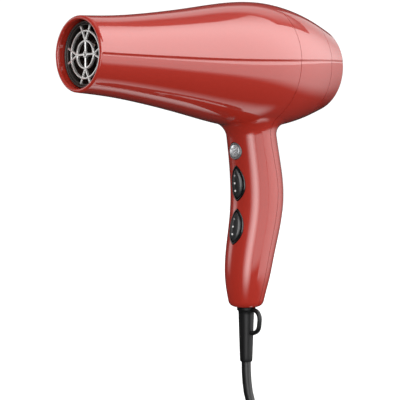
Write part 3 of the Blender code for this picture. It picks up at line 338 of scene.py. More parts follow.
PAINT = dict(
    mottle=(300, 0.05), Coat_Weight=1.0, Coat_Roughness=0.04, Coat_IOR=1.5, Specular_IOR_Level=0.1
)
MATT = dict(Specular_IOR_Level=0.25)
MATERIALS = {
    "paint": surface("red_lacquer", (0.37, 0.020, 0.010), 0.42, grain=(2600, 0.002), **PAINT),
    "black": surface("black_plastic", (0.014, 0.014, 0.015), 0.32, grain=(1800, 0.006)),
    "rocker": surface("rocker_plastic", (0.018, 0.019, 0.020), 0.33, grain=(1500, 0.004)),
    "bezel": surface("bezel_plastic", (0.005, 0.005, 0.0055), 0.30, grain=(1800, 0.006)),
    "boot": surface("boot_rubber", (0.0065, 0.0065, 0.007), 0.42, grain=(1200, 0.010), **MATT),
    "cord": surface("cord_jacket", (0.006, 0.006, 0.0063), 0.40, grain=(900, 0.012)),
    "duct": surface("duct_plastic", (0.040, 0.034, 0.031), 0.38, grain=(1300, 0.010)),
    "grille": surface("grille_steel", (0.70, 0.69, 0.68), 0.34, 0.65, grain=(2500, 0.004)),
    "ring": surface("ring_plate", (0.17, 0.17, 0.175), 0.42, 0.3, grain=(2500, 0.004)),
    "silver": surface("silver_plate", (0.62, 0.64, 0.66), 0.26, 0.6, grain=(2500, 0.003)),
    "dot": surface("white_print", (0.75, 0.75, 0.74), 0.45),
    # The white print darkened, as painted shade on the upper dots.
    "dot_painted_shade": surface("white_print_painted_shade", (0.30, 0.30, 0.30), 0.45),
    "steel": surface("zinc_steel", (0.56, 0.55, 0.53), 0.32, 0.95, grain=(2000, 0.006)),
    "wire": surface("resistance_wire", (0.17, 0.12, 0.105), 0.42, 0.85, grain=(4000, 0.03)),
    "iron": surface("laminated_iron", (0.20, 0.20, 0.21), 0.42, 0.8, (900, 0.04, "Wave")),
    "copper": surface("enamelled_copper", (0.60, 0.25, 0.10), 0.30, 0.9, (1500, 0.05, "Wave")),
    "brass": surface("brass", (0.72, 0.54, 0.24), 0.26, 0.95, grain=(2200, 0.004)),
    # Mica is darkened to near-black maroon here: painted shade for the shadowed inside of the nozzle.
    "mica": surface("mica_board", (0.035, 0.016, 0.013), 0.50, grain=(700, 0.03), mottle=(220, 0.25)),
    "rubber": surface("damper_rubber", (0.020, 0.020, 0.021), 0.65, grain=(900, 0.02)),
    "ivory": surface("terminal_plastic", (0.68, 0.64, 0.53), 0.40, grain=(1500, 0.008)),
    "blue": surface("blue_film", (0.03, 0.10, 0.35), 0.32, grain=(1200, 0.008)),
    "brown": surface("brown_insulation", (0.16, 0.07, 0.03), 0.40, grain=(1200, 0.010)),
    "screen": surface("woven_wire", (0.22, 0.22, 0.22), 0.50, 0.5, (1400, 0.20, "Checker")),
}

CAD_FINISH = {
    "duct": ["fan_duct", "speed_switch", "heat_switch", "cool_shot_switch", "cord_clamp"],
    "steel": [
        "motor_bracket_front",
        "motor_bracket_rear",
        "motor_shaft",
        "clamp_screw_left",
        "clamp_screw_right",
        "handle_screw_upper",
        "handle_screw_lower",
        "thermal_fuse",
        "cool_shot_spring",
    ],
    "wire": ["heater_coil_front", "heater_coil_middle", "heater_coil_rear"],
    "iron": ["field_stack", "armature", "carbon_brush_upper", "carbon_brush_lower"],
    "copper": ["field_coil_front", "field_coil_rear", "commutator"],
    "brass": ["bearing_front", "bearing_rear"],
    # These mica parts take the darkened mica colour, which is painted shade.
    "mica": ["mica_sleeve", "mica_board_upright", "mica_board_level"],
    "rubber": ["motor_damper", "inner_cord"],
    "black": ["fan_impeller", "filter_ring"],
    "screen": ["filter_screen"],
    "ivory": ["terminal_block"],
    "blue": ["suppression_capacitor", "lead_neutral"],
    "brown": ["thermostat", "lead_live"],
}


def finish_cad_nodes():
    """Gives each CAD node that stays its own material."""
    for key, names in CAD_FINISH.items():
        for name in names:
            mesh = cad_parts[name].data
            mesh.materials.clear()
            mesh.materials.append(MATERIALS[key])


# ---------------------------------------------------------------- mesh helpers


def piece(name, bm, finish, slot, body="housing", sharp=35, stands_in=True):
    """Turns a bmesh into a piece that rides on a body, and stands in for the CAD node of its name."""
    full_name = f"{name}_fine" if stands_in else name
    bmesh.ops.recalc_face_normals(bm, faces=bm.faces)
    mesh = mesh_of(full_name, bm)
    mesh.shade_smooth()
    mesh.set_sharp_from_angle(angle=math.radians(sharp))
    mesh.materials.append(MATERIALS[finish])
    obj = in_scene(full_name, mesh)
    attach(obj, body)
    if stands_in:
        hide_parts(name)
    return obj


def skin(bm, rings, closed_loop=False):
    """Faces between rings of vertices. A ring of one vertex is a pole."""
    pairs = list(zip(rings, rings[1:]))
    if closed_loop:
        pairs.append((rings[-1], rings[0]))
    for a, b in pairs:
        count = max(len(a), len(b))
        for i in range(count):
            j = (i + 1) % count
            corners = [a[i % len(a)], a[j % len(a)], b[j % len(b)], b[i % len(b)]]
            bm.faces.new(list(dict.fromkeys(corners)))


def loft(bm, rings):
    """A closed body through rings of points, with flat ends."""
    made = [[bm.verts.new(point) for point in ring] for ring in rings]
    skin(bm, made)
    for end in (made[0], made[-1]):
        if len(end) > 2:
            bm.faces.new(end)


def hoop(bm, rings):
    """A closed body through rings of points, the last of which joins the first."""
    skin(bm, [[bm.verts.new(point) for point in ring] for ring in rings], closed_loop=True)


def turned(bm, profile, sides=96, centre=(0.0, BARREL_Z)):
    """A body turned about an axis along X through centre, from a closed (x, radius) outline."""
    rings = []
    for x, r in profile:
        around = circle(r, sides) if r > 1e-7 else [(0.0, 0.0)]
        rings.append([bm.verts.new((x, centre[0] + y, centre[1] + z)) for y, z in around])
    skin(bm, rings, closed_loop=len(rings[0]) > 1)


def rounded(outline, radius, steps=3):
    """A closed (x, radius) outline with each of its corners rounded."""
    out = []
    points = [Vector(p) for p in outline]
    for i, corner in enumerate(points):
        before, after = points[i - 1], points[(i + 1) % len(points)]
        cut = min(radius, (before - corner).length * 0.45, (after - corner).length * 0.45)
        start = corner + (before - corner).normalized() * cut
        end = corner + (after - corner).normalized() * cut
        for k in range(steps + 1):
            t = k / steps
            out.append(start * (1 - t) ** 2 + corner * 2 * t * (1 - t) + end * t**2)
    return [(p.x, p.y) for p in out]


def bar_rings(points, radius, sides, flatten, side):
    """Rings of a round bar along points. flatten scales it along its side direction."""
    rings = []
    points = [Vector(p) for p in points]
    across = Vector(side)
    for i, point in enumerate(points):
        ahead = (points[min(i + 1, len(points) - 1)] - points[max(i - 1, 0)]).normalized()
        up = across.cross(ahead)
        rings.append([point + across * a * flatten + up * b for a, b in circle(radius, sides)])
    return rings


def unite(target, other):
    """Adds another object's body to the target's mesh with an exact Boolean."""
    change = target.modifiers.new("unite", "BOOLEAN")
    change.operation = "UNION"
    change.object = other
    graph = bpy.context.evaluated_depsgraph_get()
    mesh = bpy.data.meshes.new_from_object(target.evaluated_get(graph))
    target.modifiers.clear()
    finish = target.data.materials[0]
    target.data = mesh
    mesh.materials.clear()
    mesh.materials.append(finish)
    mesh.polygons.foreach_set("material_index", [0] * len(mesh.polygons))
    bpy.data.objects.remove(other)
    mesh.shade_smooth()
    mesh.set_sharp_from_angle(angle=math.radians(35))


# ---------------------------------------------------------------- the shells' wall

STATION_STEP = 0.0014
UPPER_ROWS = 84
LOWER_ROWS = 85
NEAR_ABOVE = (0.0, 0.00015, 0.0004, 0.0009, 0.0018)
NEAR_BELOW = (0.2, 0.55, 1.0, 1.4, 2.2, 3.4)
LIP_STEPS = 6
FILLET_STEPS = 12
HANDLE_ROWS = 130
PATCH_STEPS = 8
REAR_EDGE_STEPS = 10
END_STEPS = 8
FLOOR_STEPS = 4

# The part of the barrel's underside that is left open for the handle, and the handle's foot in it.
WINDOW_REACH = 23
WINDOW_X = (-0.0475, 0.0310)
FOOT_X = -0.0085
FOOT_HALF = (0.0290, 0.0276)

# The half of each opening's window in the handle's wall: (up, across).
ROCKER_WINDOW = (0.0162, 0.0100)
COOL_WINDOW = (0.0086, 0.0092)
SCREW_WINDOW = (0.0052, 0.0052)

# The crease along the barrel: its height over the axis, its step, the width of its slant, all by x,
# the softening of its edge, the hollow under it and how far up its step fades.
crease_z = smooth_curve(
    [
        (-0.174, -0.0004),
        (-0.120, -0.0004),
        (-0.060, 0.0),
        (-0.001, 0.0020),
        (0.030, 0.0037),
        (0.066, 0.0053),
    ]
)
crease_step = smooth_curve(
    [(-0.174, 0.00055), (-0.060, 0.00068), (0.000, 0.00053), (0.042, 0.00035), (0.066, 0.00028)]
)
crease_wide = smooth_curve(
    [(-0.174, 0.0011), (-0.060, 0.0013), (0.000, 0.0010), (0.042, 0.0007), (0.066, 0.0006)]
)
CREASE_SOFT = 0.00010
CREASE_HOLLOW = 0.00008
CREASE_FADE = 0.040


class Wall:
    """The outer points of the shells' wall, the inner point behind each, and the faces between."""

    def __init__(self):
        self.points = []
        self.inner = []
        self.faces = []

    def add(self, point, inner=None):
        self.points.append(tuple(point))
        self.inner.append(None if inner is None else tuple(inner))
        return len(self.points) - 1

    def band(self, a, b):
        for i in range(len(a)):
            j = (i + 1) % len(a)
            corners = list(dict.fromkeys((a[i], a[j], b[j], b[i])))
            if len(corners) > 2:
                self.faces.append(tuple(corners))

    def solid(self):
        """A bmesh of the closed wall: outer side, inner side, and rims where the outer side ends."""
        bm = bmesh.new()
        outer = [bm.verts.new(p) for p in self.points]
        for face in self.faces:
            bm.faces.new([outer[i] for i in face])
        unused = [v for v in outer if not v.link_faces]
        bmesh.ops.recalc_face_normals(bm, faces=bm.faces)
        volume = sum(f.calc_center_median().dot(f.normal) * f.calc_area() for f in bm.faces)
        if volume < 0:
            bmesh.ops.reverse_faces(bm, faces=bm.faces)
        bm.normal_update()
        rims = [tuple(e.verts) for e in bm.edges if len(e.link_faces) == 1]
        index = {v: i for i, v in enumerate(outer)}
        inner = []
        for i, v in enumerate(outer):
            behind = self.inner[i]
            inner.append(bm.verts.new(v.co - v.normal * WALL if behind is None else behind))
        for face in self.faces:
            bm.faces.new([inner[i] for i in reversed(face)])
        for a, b in rims:
            i, j = index[a], index[b]
            if (inner[i].co - a.co).length > 1e-6:
                bm.faces.new([a, b, inner[j], inner[i]])
        unused += [v for v in inner if not v.link_faces]
        for v in unused:
            if v.is_valid:
                bm.verts.remove(v)
        bmesh.ops.remove_doubles(bm, verts=bm.verts, dist=1e-6)
        return bm


def barrel_stations():
    """(x, radius, inner x, inner radius, share of the crease), from the mouth to the rear opening."""
    lip_x = MOUTH_X + LIP_DEPTH
    outer_r = float(barrel_radius(lip_x)) - LIP_MIDDLE_R
    inner_r = LIP_MIDDLE_R - LIP_INNER_R
    stations = []
    for k in range(LIP_STEPS):
        angle = math.pi / 2 * (1 - k / LIP_STEPS)
        x = lip_x - LIP_DEPTH * math.sin(angle)
        out = LIP_MIDDLE_R + outer_r * math.cos(angle)
        inner = LIP_MIDDLE_R - inner_r * math.cos(angle)
        stations.append((x, out, x, inner, max(0.0, k / LIP_STEPS - 0.3)))
    count = round((SHOULDER_X - lip_x) / STATION_STEP)
    for x in np.linspace(lip_x, SHOULDER_X, count):
        radius = float(barrel_radius(x))
        open_share = min(1.0, max(0.0, (x - lip_x - LIP_BLEND) / LIP_BLEND))
        inner = LIP_INNER_R * (1 - open_share) + (radius - WALL) * open_share
        if x > REAR_LIP_X - WALL:
            inner = min(inner, REAR_INNER_R)
        stations.append((float(x), radius, min(float(x), REAR_LIP_X - 0.0008), inner, 1.0))
    slope = (SHOULDER_R - float(barrel_radius(SHOULDER_X - 0.001))) / 0.001
    start = math.atan2(1, -slope)
    for step in range(1, REAR_EDGE_STEPS + 1):
        share = step / REAR_EDGE_STEPS
        angle = start * (1 - share)
        x = SHOULDER_X + REAR_EDGE_R * (math.cos(angle) - math.cos(start))
        r = SHOULDER_R - REAR_EDGE_R * (math.sin(start) - math.sin(angle))
        inner = REAR_INNER_R - 0.0002 - 0.0018 * share
        stations.append((x, r, REAR_LIP_X, inner, 1 - share))
    end_x = stations[-1][0]
    for k, (back, grow) in enumerate(((0.0, 0.0004), (0.0001, 0.0001), (0.0004, 0.0))):
        stations.append((end_x - back, REAR_OPENING_R + grow, REAR_LIP_X, 0.0304 - 0.0003 * k, 0.0))
    stations.append((REAR_LIP_X, REAR_OPENING_R, REAR_LIP_X, REAR_OPENING_R, 0.0))
    return stations


def barrel_rows(x, radius, share):
    """(angle, height over the barrel's plain surface) round one station, from the near crease up.

    The half above the crease stands proud of the half below it, by a small slanting step."""
    base = math.asin(float(crease_z(x)) / max(radius, 0.02))
    step = float(crease_step(x)) * share
    wide = float(crease_wide(x))

    def above(distance):
        soft_edge = CREASE_SOFT * math.exp(-distance / CREASE_SOFT)
        fade = math.cos(math.pi / 2 * min(1.0, distance / CREASE_FADE)) ** 2
        return step * fade - soft_edge * share

    def below(part):
        if part < 1:
            return (step - CREASE_SOFT * share) * (1 - part) - CREASE_HOLLOW * share * part
        return -CREASE_HOLLOW * share * max(0.0, 1 - (part - 1) / 2.4)

    up = [(base + d / radius, above(d)) for d in NEAR_ABOVE]
    last = up[-1][0]
    for k in range(1, UPPER_ROWS + 1):
        angle = last + (math.pi - 2 * last) * k / (UPPER_ROWS + 1)
        distance = min(angle - base, math.pi - base - angle) * radius
        up.append((angle, above(distance)))
    up += [(math.pi - base - d / radius, above(d)) for d in reversed(NEAR_ABOVE)]
    first = math.pi - base
    down = [(first + part * wide / radius, below(part)) for part in NEAR_BELOW]
    last = down[-1][0] - 1.5 * math.pi
    for k in range(1, LOWER_ROWS + 1):
        down.append((1.5 * math.pi + last * (1 - 2 * k / (LOWER_ROWS + 1)), 0.0))
    end = 2 * math.pi + base
    down += [(end - part * wide / radius, below(part)) for part in reversed(NEAR_BELOW)]
    return up + down


def on_barrel(x, radius, angle):
    """The point this far round and this far out from the barrel's axis."""
    return (x, -radius * math.cos(angle), BARREL_Z + radius * math.sin(angle))


def on_handle(angle, z, inset=0.0):
    """The point of the handle's surface at this angle round it and this height."""
    half = float(handle_half(z)) - inset
    x = float(handle_x(z)) + half * HANDLE_STRETCH_X * math.cos(angle)
    return Vector((x, half * HANDLE_STRETCH_Y * math.sin(angle), z))


def underside(x, y):
    """The height of the barrel's underside at (x, y)."""
    r = float(barrel_radius(x))
    return BARREL_Z - math.sqrt(max(r * r - y * y, 0))


def fillet(angle):
    """The height where the handle's fillet starts, and its points out onto the barrel's underside."""
    z = BARREL_Z - 0.055
    for _ in range(14):
        point = on_handle(angle, z)
        z = underside(point.x, point.y) - HANDLE_FILLET
    foot = on_handle(angle, z)
    rise = (on_handle(angle, z + 0.0005) - on_handle(angle, z - 0.0005)).normalized()
    above = on_handle(angle, z + HANDLE_FILLET)
    out = (above - Vector((float(handle_x(above.z)), 0, above.z))).normalized()
    land = above + out * HANDLE_FILLET
    land.z = underside(land.x, land.y)
    beyond = land + out * 0.0004
    beyond.z = underside(beyond.x, beyond.y)
    slide = (beyond - land).normalized()
    pull = HANDLE_FILLET * 0.60
    p1, p2 = foot + rise * pull, land - slide * pull
    points = []
    for k in range(1, FILLET_STEPS + 1):
        t = k / FILLET_STEPS
        s = 1 - t
        points.append(foot * s**3 + p1 * 3 * s * s * t + p2 * 3 * s * t * t + land * t**3)
    return z, points


def patch(wall, perimeter, loop, place, steps=PATCH_STEPS):
    """Rings of faces from a window's perimeter, [(index, u, v)], in to a loop of (u, v) points.

    place(u, v) adds a point of the wall. It returns the loop's indices."""
    ring = [index for index, _, _ in perimeter]
    for k in range(1, steps + 1):
        t = k / steps
        inner = []
        for (_, u, v), (lu, lv) in zip(perimeter, loop):
            inner.append(place(u + (lu - u) * t, v + (lv - v) * t))
        wall.band(ring, inner)
        ring = inner
    return ring


def window(columns, rows):
    """The rim of a window in a grid, as (column, row) pairs, from its last column's middle row."""
    c0, c1 = columns
    r0, r1 = rows
    middle = (r0 + r1) // 2
    path = [(c1, r) for r in range(middle, r0, -1)]
    path += [(c, r0) for c in range(c1, c0, -1)]
    path += [(c0, r) for r in range(r0, r1)]
    path += [(c, r1) for c in range(c0, c1)]
    path += [(c1, r) for r in range(r1, middle, -1)]
    return path


def build_wall():
    """The wall of barrel and handle in one piece, with the handle's openings."""
    wall = Wall()
    stations = barrel_stations()
    grid = []
    spots = []
    for x, r, inner_x, inner_r, share in stations:
        column = []
        spot = []
        for angle, lift in barrel_rows(x, r, share):
            column.append(wall.add(on_barrel(x, r + lift, angle), on_barrel(inner_x, inner_r, angle)))
            spot.append((x, angle))
        grid.append(column)
        spots.append(spot)

    rows = len(grid[0])
    first_low = len(NEAR_ABOVE) * 2 + UPPER_ROWS + len(NEAR_BELOW)
    middle = first_low + LOWER_ROWS // 2
    hole_rows = (middle - WINDOW_REACH, middle + WINDOW_REACH)
    xs = [s[0] for s in stations]
    hole_columns = tuple(int(np.searchsorted(xs, x)) for x in WINDOW_X)
    for i in range(len(grid) - 1):
        for j in range(rows):
            inside = hole_columns[0] <= i < hole_columns[1] and hole_rows[0] <= j < hole_rows[1]
            if not inside:
                k = (j + 1) % rows
                wall.faces.append((grid[i][j], grid[i + 1][j], grid[i + 1][k], grid[i][k]))

    perimeter = [(grid[c][r], *spots[c][r]) for c, r in window(hole_columns, hole_rows)]
    angles = []
    for _, x, angle in perimeter:
        y = -float(barrel_radius(x)) * math.cos(angle)
        turn = math.atan2(y / FOOT_HALF[1], (x - FOOT_X) / FOOT_HALF[0])
        angles.append(turn % (2 * math.pi))
    angles[0] = 0.0
    fillets = [fillet(angle) for angle in angles]
    loop = []
    for _, points in fillets:
        land = points[-1]
        loop.append((land.x, 1.5 * math.pi - math.asin(land.y / float(barrel_radius(land.x)))))

    def place_on_barrel(x, angle):
        radius = float(barrel_radius(x))
        return wall.add(on_barrel(x, radius, angle), on_barrel(x, radius - WALL, angle))

    ring = patch(wall, perimeter, loop, place_on_barrel)
    for step in range(FILLET_STEPS - 2, -1, -1):
        lower = [wall.add(points[step]) for _, points in fillets]
        wall.band(ring, lower)
        ring = lower
    handle_side(wall, ring, angles, [top for top, _ in fillets])
    return wall


def handle_side(wall, ring, angles, tops):
    """The handle's wall below the fillet, with its openings, and its rounded lower end."""
    low = HANDLE_BOTTOM + HANDLE_EDGE_R
    grid = []
    for m in range(HANDLE_ROWS):
        share = 1 - m / (HANDLE_ROWS - 1)
        heights = [low + (top - low) * share for top in tops]
        grid.append([(wall.add(on_handle(a, z)), a, z) for a, z in zip(angles, heights)])
    wall.band(ring, [index for index, _, _ in grid[0]])

    count = len(angles)
    taken = set()
    for z, angle, half, outline, tail in openings():
        centre = int(np.argmin([abs(math.remainder(a - angle, 2 * math.pi)) for a in angles]))
        line = [row[centre][2] for row in grid]
        top_row = max((i for i, h in enumerate(line) if h >= z + half[0]), default=0)
        end_row = min(i for i, h in enumerate(line) if h <= z - half[0])
        if (end_row - top_row) % 2:
            end_row += 1
        wide = 1
        while abs(on_handle(angles[(centre + wide) % count], z).y) < half[1]:
            wide += 1
        for m in range(top_row, end_row):
            for c in range(centre - wide, centre + wide):
                taken.add((m, c % count))
        perimeter = []
        for c, m in window((centre - wide, centre + wide), (top_row, end_row)):
            index, a, h = grid[m][c % count]
            perimeter.append((index, angle + math.remainder(a - angle, 2 * math.pi), h))
        loop = match_loop(perimeter, outline, angle, z)

        def place(a, h):
            return wall.add(on_handle(a, h))

        inner = patch(wall, perimeter, loop, place, 6)
        for ring_points in tail(loop) if tail else []:
            following = [wall.add(outer, behind) for outer, behind in ring_points]
            wall.band(inner, following)
            inner = following

    for m in range(HANDLE_ROWS - 1):
        for c in range(count):
            if (m, c) not in taken:
                d = (c + 1) % count
                corners = (grid[m][c], grid[m][d], grid[m + 1][d], grid[m + 1][c])
                wall.faces.append(tuple(index for index, _, _ in corners))
    handle_end(wall, [index for index, _, _ in grid[-1]], angles)


def match_loop(perimeter, outline, angle, z):
    """Points of an opening's outline, (offset across, height), one for each perimeter point."""
    outline = np.array(outline)
    across, up = np.abs(outline).max(axis=0)
    turn = np.unwrap(np.arctan2(outline[:, 1] / up, outline[:, 0] / across))
    order = np.argsort(turn)
    turn, outline = turn[order], outline[order]
    turn = np.concatenate([turn - 2 * math.pi, turn, turn + 2 * math.pi])
    outline = np.concatenate([outline, outline, outline])
    loop = []
    half = float(handle_half(z)) * HANDLE_STRETCH_Y
    for _, a, h in perimeter:
        at = math.atan2((h - z) / up, (a - angle) * half / across)
        y = float(np.interp(at, turn, outline[:, 0]))
        height = z + float(np.interp(at, turn, outline[:, 1]))
        loop.append((angle + math.asin(y / (float(handle_half(height)) * HANDLE_STRETCH_Y)), height))
    return loop


def handle_end(wall, ring, angles):
    """The rounded edge and floor of the handle's lower end, in to the strain relief's hole."""
    for step in range(1, END_STEPS + 1):
        angle = math.pi / 2 * step / END_STEPS
        z = HANDLE_BOTTOM + HANDLE_EDGE_R * (1 - math.sin(angle))
        inset = HANDLE_EDGE_R * (1 - math.cos(angle))
        following = [wall.add(on_handle(a, z, inset)) for a in angles]
        wall.band(ring, following)
        ring = following
    for step in range(1, FLOOR_STEPS + 1):
        t = step / FLOOR_STEPS
        following = []
        for a in angles:
            x, y, z = on_handle(a, HANDLE_BOTTOM, HANDLE_EDGE_R)
            hole_x, hole_y = polar(NECK_R + HOLE_GAP, a)
            spot = (x * (1 - t) + (BOOT_X + hole_x) * t, y * (1 - t) + hole_y * t)
            following.append(wall.add((*spot, z), (*spot, z + WALL)))
        wall.band(ring, following)
        ring = following


def leaf(half_length, half_width, count):
    """A leaf outline as (y, z) points, pointed softly at both ends, fullest below its middle."""
    points = []
    for i in range(count):
        angle = 2 * math.pi * i / count
        z = math.cos(angle)
        fullness = max(0.0, 1 - abs(z) ** 2.2) ** 0.8
        y = math.copysign(fullness, math.sin(angle))
        points.append((y * half_width * (1 - 0.12 * z), z * half_length))
    return points


def screw_well_tail(z):
    """Rings of points that carry a screw hole in the handle's back down to the screw's seat."""

    def tail(loop):
        seat = float(parting_x(z)) + SCREW_SEAT_DEPTH
        behind_seat = seat - SCREW_SEAT_FLOOR
        hole = SCREW_HEAD_R + HOLE_GAP
        thick = hole + SCREW_WELL_WALL
        shank = SCREW_SHANK_R + HOLE_GAP
        starts = [on_handle(a, h) for a, h in loop]
        ways = [Vector((p.y, p.z - z)).normalized() for p in starts]

        def spot(x, way, radius):
            return (x, way.x * radius, z + way.y * radius)

        rings = []
        for share in (0.15, 0.6, 1.0):
            ring = []
            for p, way in zip(starts, ways):
                x = (p.x - 0.0002) * (1 - share) + seat * share
                behind_x = min(x, p.x - WALL) if share < 1 else behind_seat
                ring.append((spot(x, way, hole), spot(behind_x, way, thick)))
            rings.append(ring)
        rings.append([(spot(seat, way, shank), spot(behind_seat, way, shank)) for way in ways])
        return rings

    return tail


def openings():
    """(height, angle round the handle, half window (up, across), outline (across, up), tail)."""
    grow = BEZEL_WIDTH + RUNNING_GAP + HOLE_GAP
    slot = leaf(LEAF_HALF[0] + grow, LEAF_HALF[1] + grow, 400)
    screw_hole = circle(SCREW_HEAD_R + HOLE_GAP, 200)
    found = [(z, math.pi, ROCKER_WINDOW, slot, None) for z in ROCKER_Z]
    found.append((COOL_Z, math.pi, COOL_WINDOW, circle(COOL_HOLE_R, 200), None))
    found += [(z, 0.0, SCREW_WINDOW, screw_hole, screw_well_tail(z)) for z in SCREW_Z]
    return found


def cut(bm, place, keep_ahead):
    """Cuts a closed body by the plane x = place and closes it. keep_ahead keeps the -X side."""
    geometry = bm.verts[:] + bm.edges[:] + bm.faces[:]
    made = bmesh.ops.bisect_plane(
        bm,
        geom=geometry,
        plane_co=(place, 0, 0),
        plane_no=(1, 0, 0),
        clear_outer=keep_ahead,
        clear_inner=not keep_ahead,
        dist=1e-7,
    )
    edges = [e for e in made["geom_cut"] if isinstance(e, bmesh.types.BMEdge)]
    edges = [e for e in edges if len(e.link_faces) == 1]
    bmesh.ops.triangle_fill(bm, use_beauty=True, use_dissolve=False, edges=edges, normal=(1, 0, 0))


def shells():
    """Front shell, back shell and rear cap, cut from one wall."""
    whole = build_wall().solid()
    for v in whole.verts:
        v.co.x -= float(parting_x(v.co.z))
    front, back = whole.copy(), whole
    cut(front, -SEAM_GAP / 2, True)
    cut(back, SEAM_GAP / 2, False)
    for bm in (front, back):
        for v in bm.verts:
            v.co.x += float(parting_x(v.co.z))
    cap = back.copy()
    cut(back, CAP_X - SEAM_GAP / 2, True)
    cut(cap, CAP_X + SEAM_GAP / 2, False)
    piece("front_shell", front, "paint", "red_gloss")
    piece("back_shell", back, "paint", "red_gloss")
    piece("rear_cap", cap, "paint", "red_gloss", "rear_cap")


# ---------------------------------------------------------------- outlet, inlet and controls


def duct():
    """The dark tube inside the nozzle, with softly rounded ends."""
    xs = [DUCT_FRONT_X, MOUTH_X + 0.0105] + list(np.linspace(MOUTH_X + 0.0150, DUCT_REAR_X, 12))
    radii = [DUCT_MOUTH_R, DUCT_MOUTH_R]
    radii += [max(DUCT_MOUTH_R, float(barrel_radius(x)) - DUCT_INSET) for x in xs[2:]]
    outer = list(zip(xs, radii))
    inner = [(x, r - DUCT_WALL) for x, r in reversed(outer)]
    bm = bmesh.new()
    turned(bm, rounded(outer + inner, 0.0006))
    piece("air_duct", bm, "duct", "dark_grey_plastic")


def scratch(bm):
    """A temporary object that only lives until it is united with a piece."""
    bmesh.ops.recalc_face_normals(bm, faces=bm.faces)
    return in_scene("scratch", mesh_of("scratch", bm))


def bar(bm, points, half_width, depth):
    """A bar with chamfered edges through (x, y, z) points that lie on its outer face."""
    c = half_width * 0.4
    section = [(-1, c), (-1, depth - c), (-0.6, depth), (0.6, depth)]
    section += [(1, depth - c), (1, c), (0.6, 0), (-0.6, 0)]
    points = [Vector(p) for p in points]
    flow = points[-1] - points[0]
    across = Vector((0, -flow.z, flow.y)).normalized() * half_width
    loft(bm, [[p + across * a + Vector((back, 0, 0)) for a, back in section] for p in points])


def outlet_grille():
    """Hub, two rings, four spokes inside and four pairs of spokes outside, in a slim rim whose dark
    colour is painted shade.
    """
    back = GRILLE_X + GRILLE_DEPTH
    half = GRILLE_BAR / 2

    def band(bm, r0, r1):
        outline = [(GRILLE_X, r0), (GRILLE_X, r1), (back, r1), (back, r0)]
        turned(bm, rounded(outline, 0.0004))

    # The rim is part of the grille's metal, but it takes the duct's dark colour: painted shade where it
    # sits in the nozzle's shadow.
    bm = bmesh.new()
    band(bm, GRILLE_RIM_R - 0.0010, GRILLE_RIM_R)
    piece("outlet_rim_painted_shade", bm, "duct", "dark_grey_plastic", stands_in=False)
    bm = bmesh.new()
    band(bm, GRILLE_HUB_R * 0.5, GRILLE_HUB_R)
    for radius in GRILLE_RINGS:
        band(bm, radius - half, radius + half)
    grille = piece("outlet_grille", bm, "grille", "steel")
    for lean in (None, -GRILLE_V_ANGLE, GRILLE_V_ANGLE):
        bm = bmesh.new()
        for quarter in range(4):
            angle = quarter * math.pi / 2
            knee = Vector(polar(GRILLE_RINGS[0], angle))
            if lean is None:
                start, end = Vector(polar(GRILLE_HUB_R * 0.8, angle)), knee
            else:
                way = Vector(polar(1, angle + lean))
                along = knee.dot(way)
                reach = math.sqrt((GRILLE_RIM_R - 0.0005) ** 2 - knee.length_squared + along**2)
                start, end = knee, knee + way * (reach - along)
            ends = [(GRILLE_X + 0.0001, y, BARREL_Z + z) for y, z in (start, end)]
            bar(bm, ends, half, GRILLE_DEPTH - 0.0002)
        unite(grille, scratch(bm))


def inlet_grille():
    """Domed grille in the cap's rear opening: a rounded rim, rings, curved bars and a boss."""
    lip = REAR_LIP_X
    edge = REAR_OPENING_R - 0.0003
    rim = [
        (lip - 0.0016, edge - 0.0020),
        (lip - 0.0016, edge + 0.0024),
        (lip - 0.0003, edge + 0.0024),
        (lip - 0.0003, edge),
        (lip + 0.0056, edge),
        (lip + 0.0056, edge - 0.0020),
    ]

    def dome(radius):
        return lip + 0.0034 + 0.0030 * (1 - (radius / edge) ** 2)

    bm = bmesh.new()
    turned(bm, rounded(rim, 0.0007))
    for radius in INLET_RINGS:
        near, far = dome(radius), dome(radius) + INLET_DEPTH
        inner, outer = radius - INLET_RING_HALF, radius + INLET_RING_HALF
        turned(bm, rounded([(near, inner), (far, inner), (far, outer), (near, outer)], 0.0005))
    near, far = dome(0), dome(0) + INLET_DEPTH
    boss = [(near, 0), (near, 0.0044), (near + 0.0004, 0.0048), (far - 0.0006, 0.0048)]
    boss += [(far - 0.0002, 0.0042), (far, 0.0030), (far + 0.0003, 0.0015), (far + 0.0003, 0)]
    turned(bm, boss, 48)
    grille = piece("inlet_grille", bm, "black", "black_plastic", "rear_cap")
    bm = bmesh.new()
    for i in range(INLET_BARS):
        angle = 2 * math.pi * (i + 0.5) / INLET_BARS
        points = []
        for radius in np.linspace(0.0040, edge - 0.0008, 9):
            y, z = polar(radius, angle)
            points.append((dome(radius) + 0.0002, y, BARREL_Z + z))
        bar(bm, points, 0.0006, INLET_DEPTH - 0.0005)
    unite(grille, scratch(bm))


def surface_x(y, z):
    """x of the handle's front surface at (y, z)."""
    half = float(handle_half(z))
    across = min(0.99, abs(y) / (half * HANDLE_STRETCH_Y))
    return float(handle_x(z)) - half * HANDLE_STRETCH_X * math.sqrt(1 - across**2)


def bezel(name, z):
    """A slim leaf-shaped frame, whose lip follows the handle's curve."""
    back = handle_front(z) + 0.0062
    inner = (LEAF_HALF[0] + RUNNING_GAP, LEAF_HALF[1] + RUNNING_GAP)
    rings = []
    for share, proud in BEZEL_LIP:
        grow = BEZEL_WIDTH * share
        ring = []
        for y, up in leaf(inner[0] + grow, inner[1] + grow, LEAF_POINTS):
            ring.append((surface_x(y, z + up) - proud, y, z + up))
        rings.append(ring)
    for grow in (BEZEL_WIDTH, 0.0):
        outline = leaf(inner[0] + grow, inner[1] + grow, LEAF_POINTS)
        rings.append([(back, y, z + up) for y, up in outline])
    bm = bmesh.new()
    hoop(bm, rings)
    piece(f"{name}_bezel", bm, "bezel", "black_plastic")


rocker_rise = smooth_curve(
    [
        (0.0, 0.00245),
        (0.25, 0.00240),
        (0.50, 0.00220),
        (0.75, 0.00175),
        (0.92, 0.00110),
        (1.0, 0.00040),
    ]
)


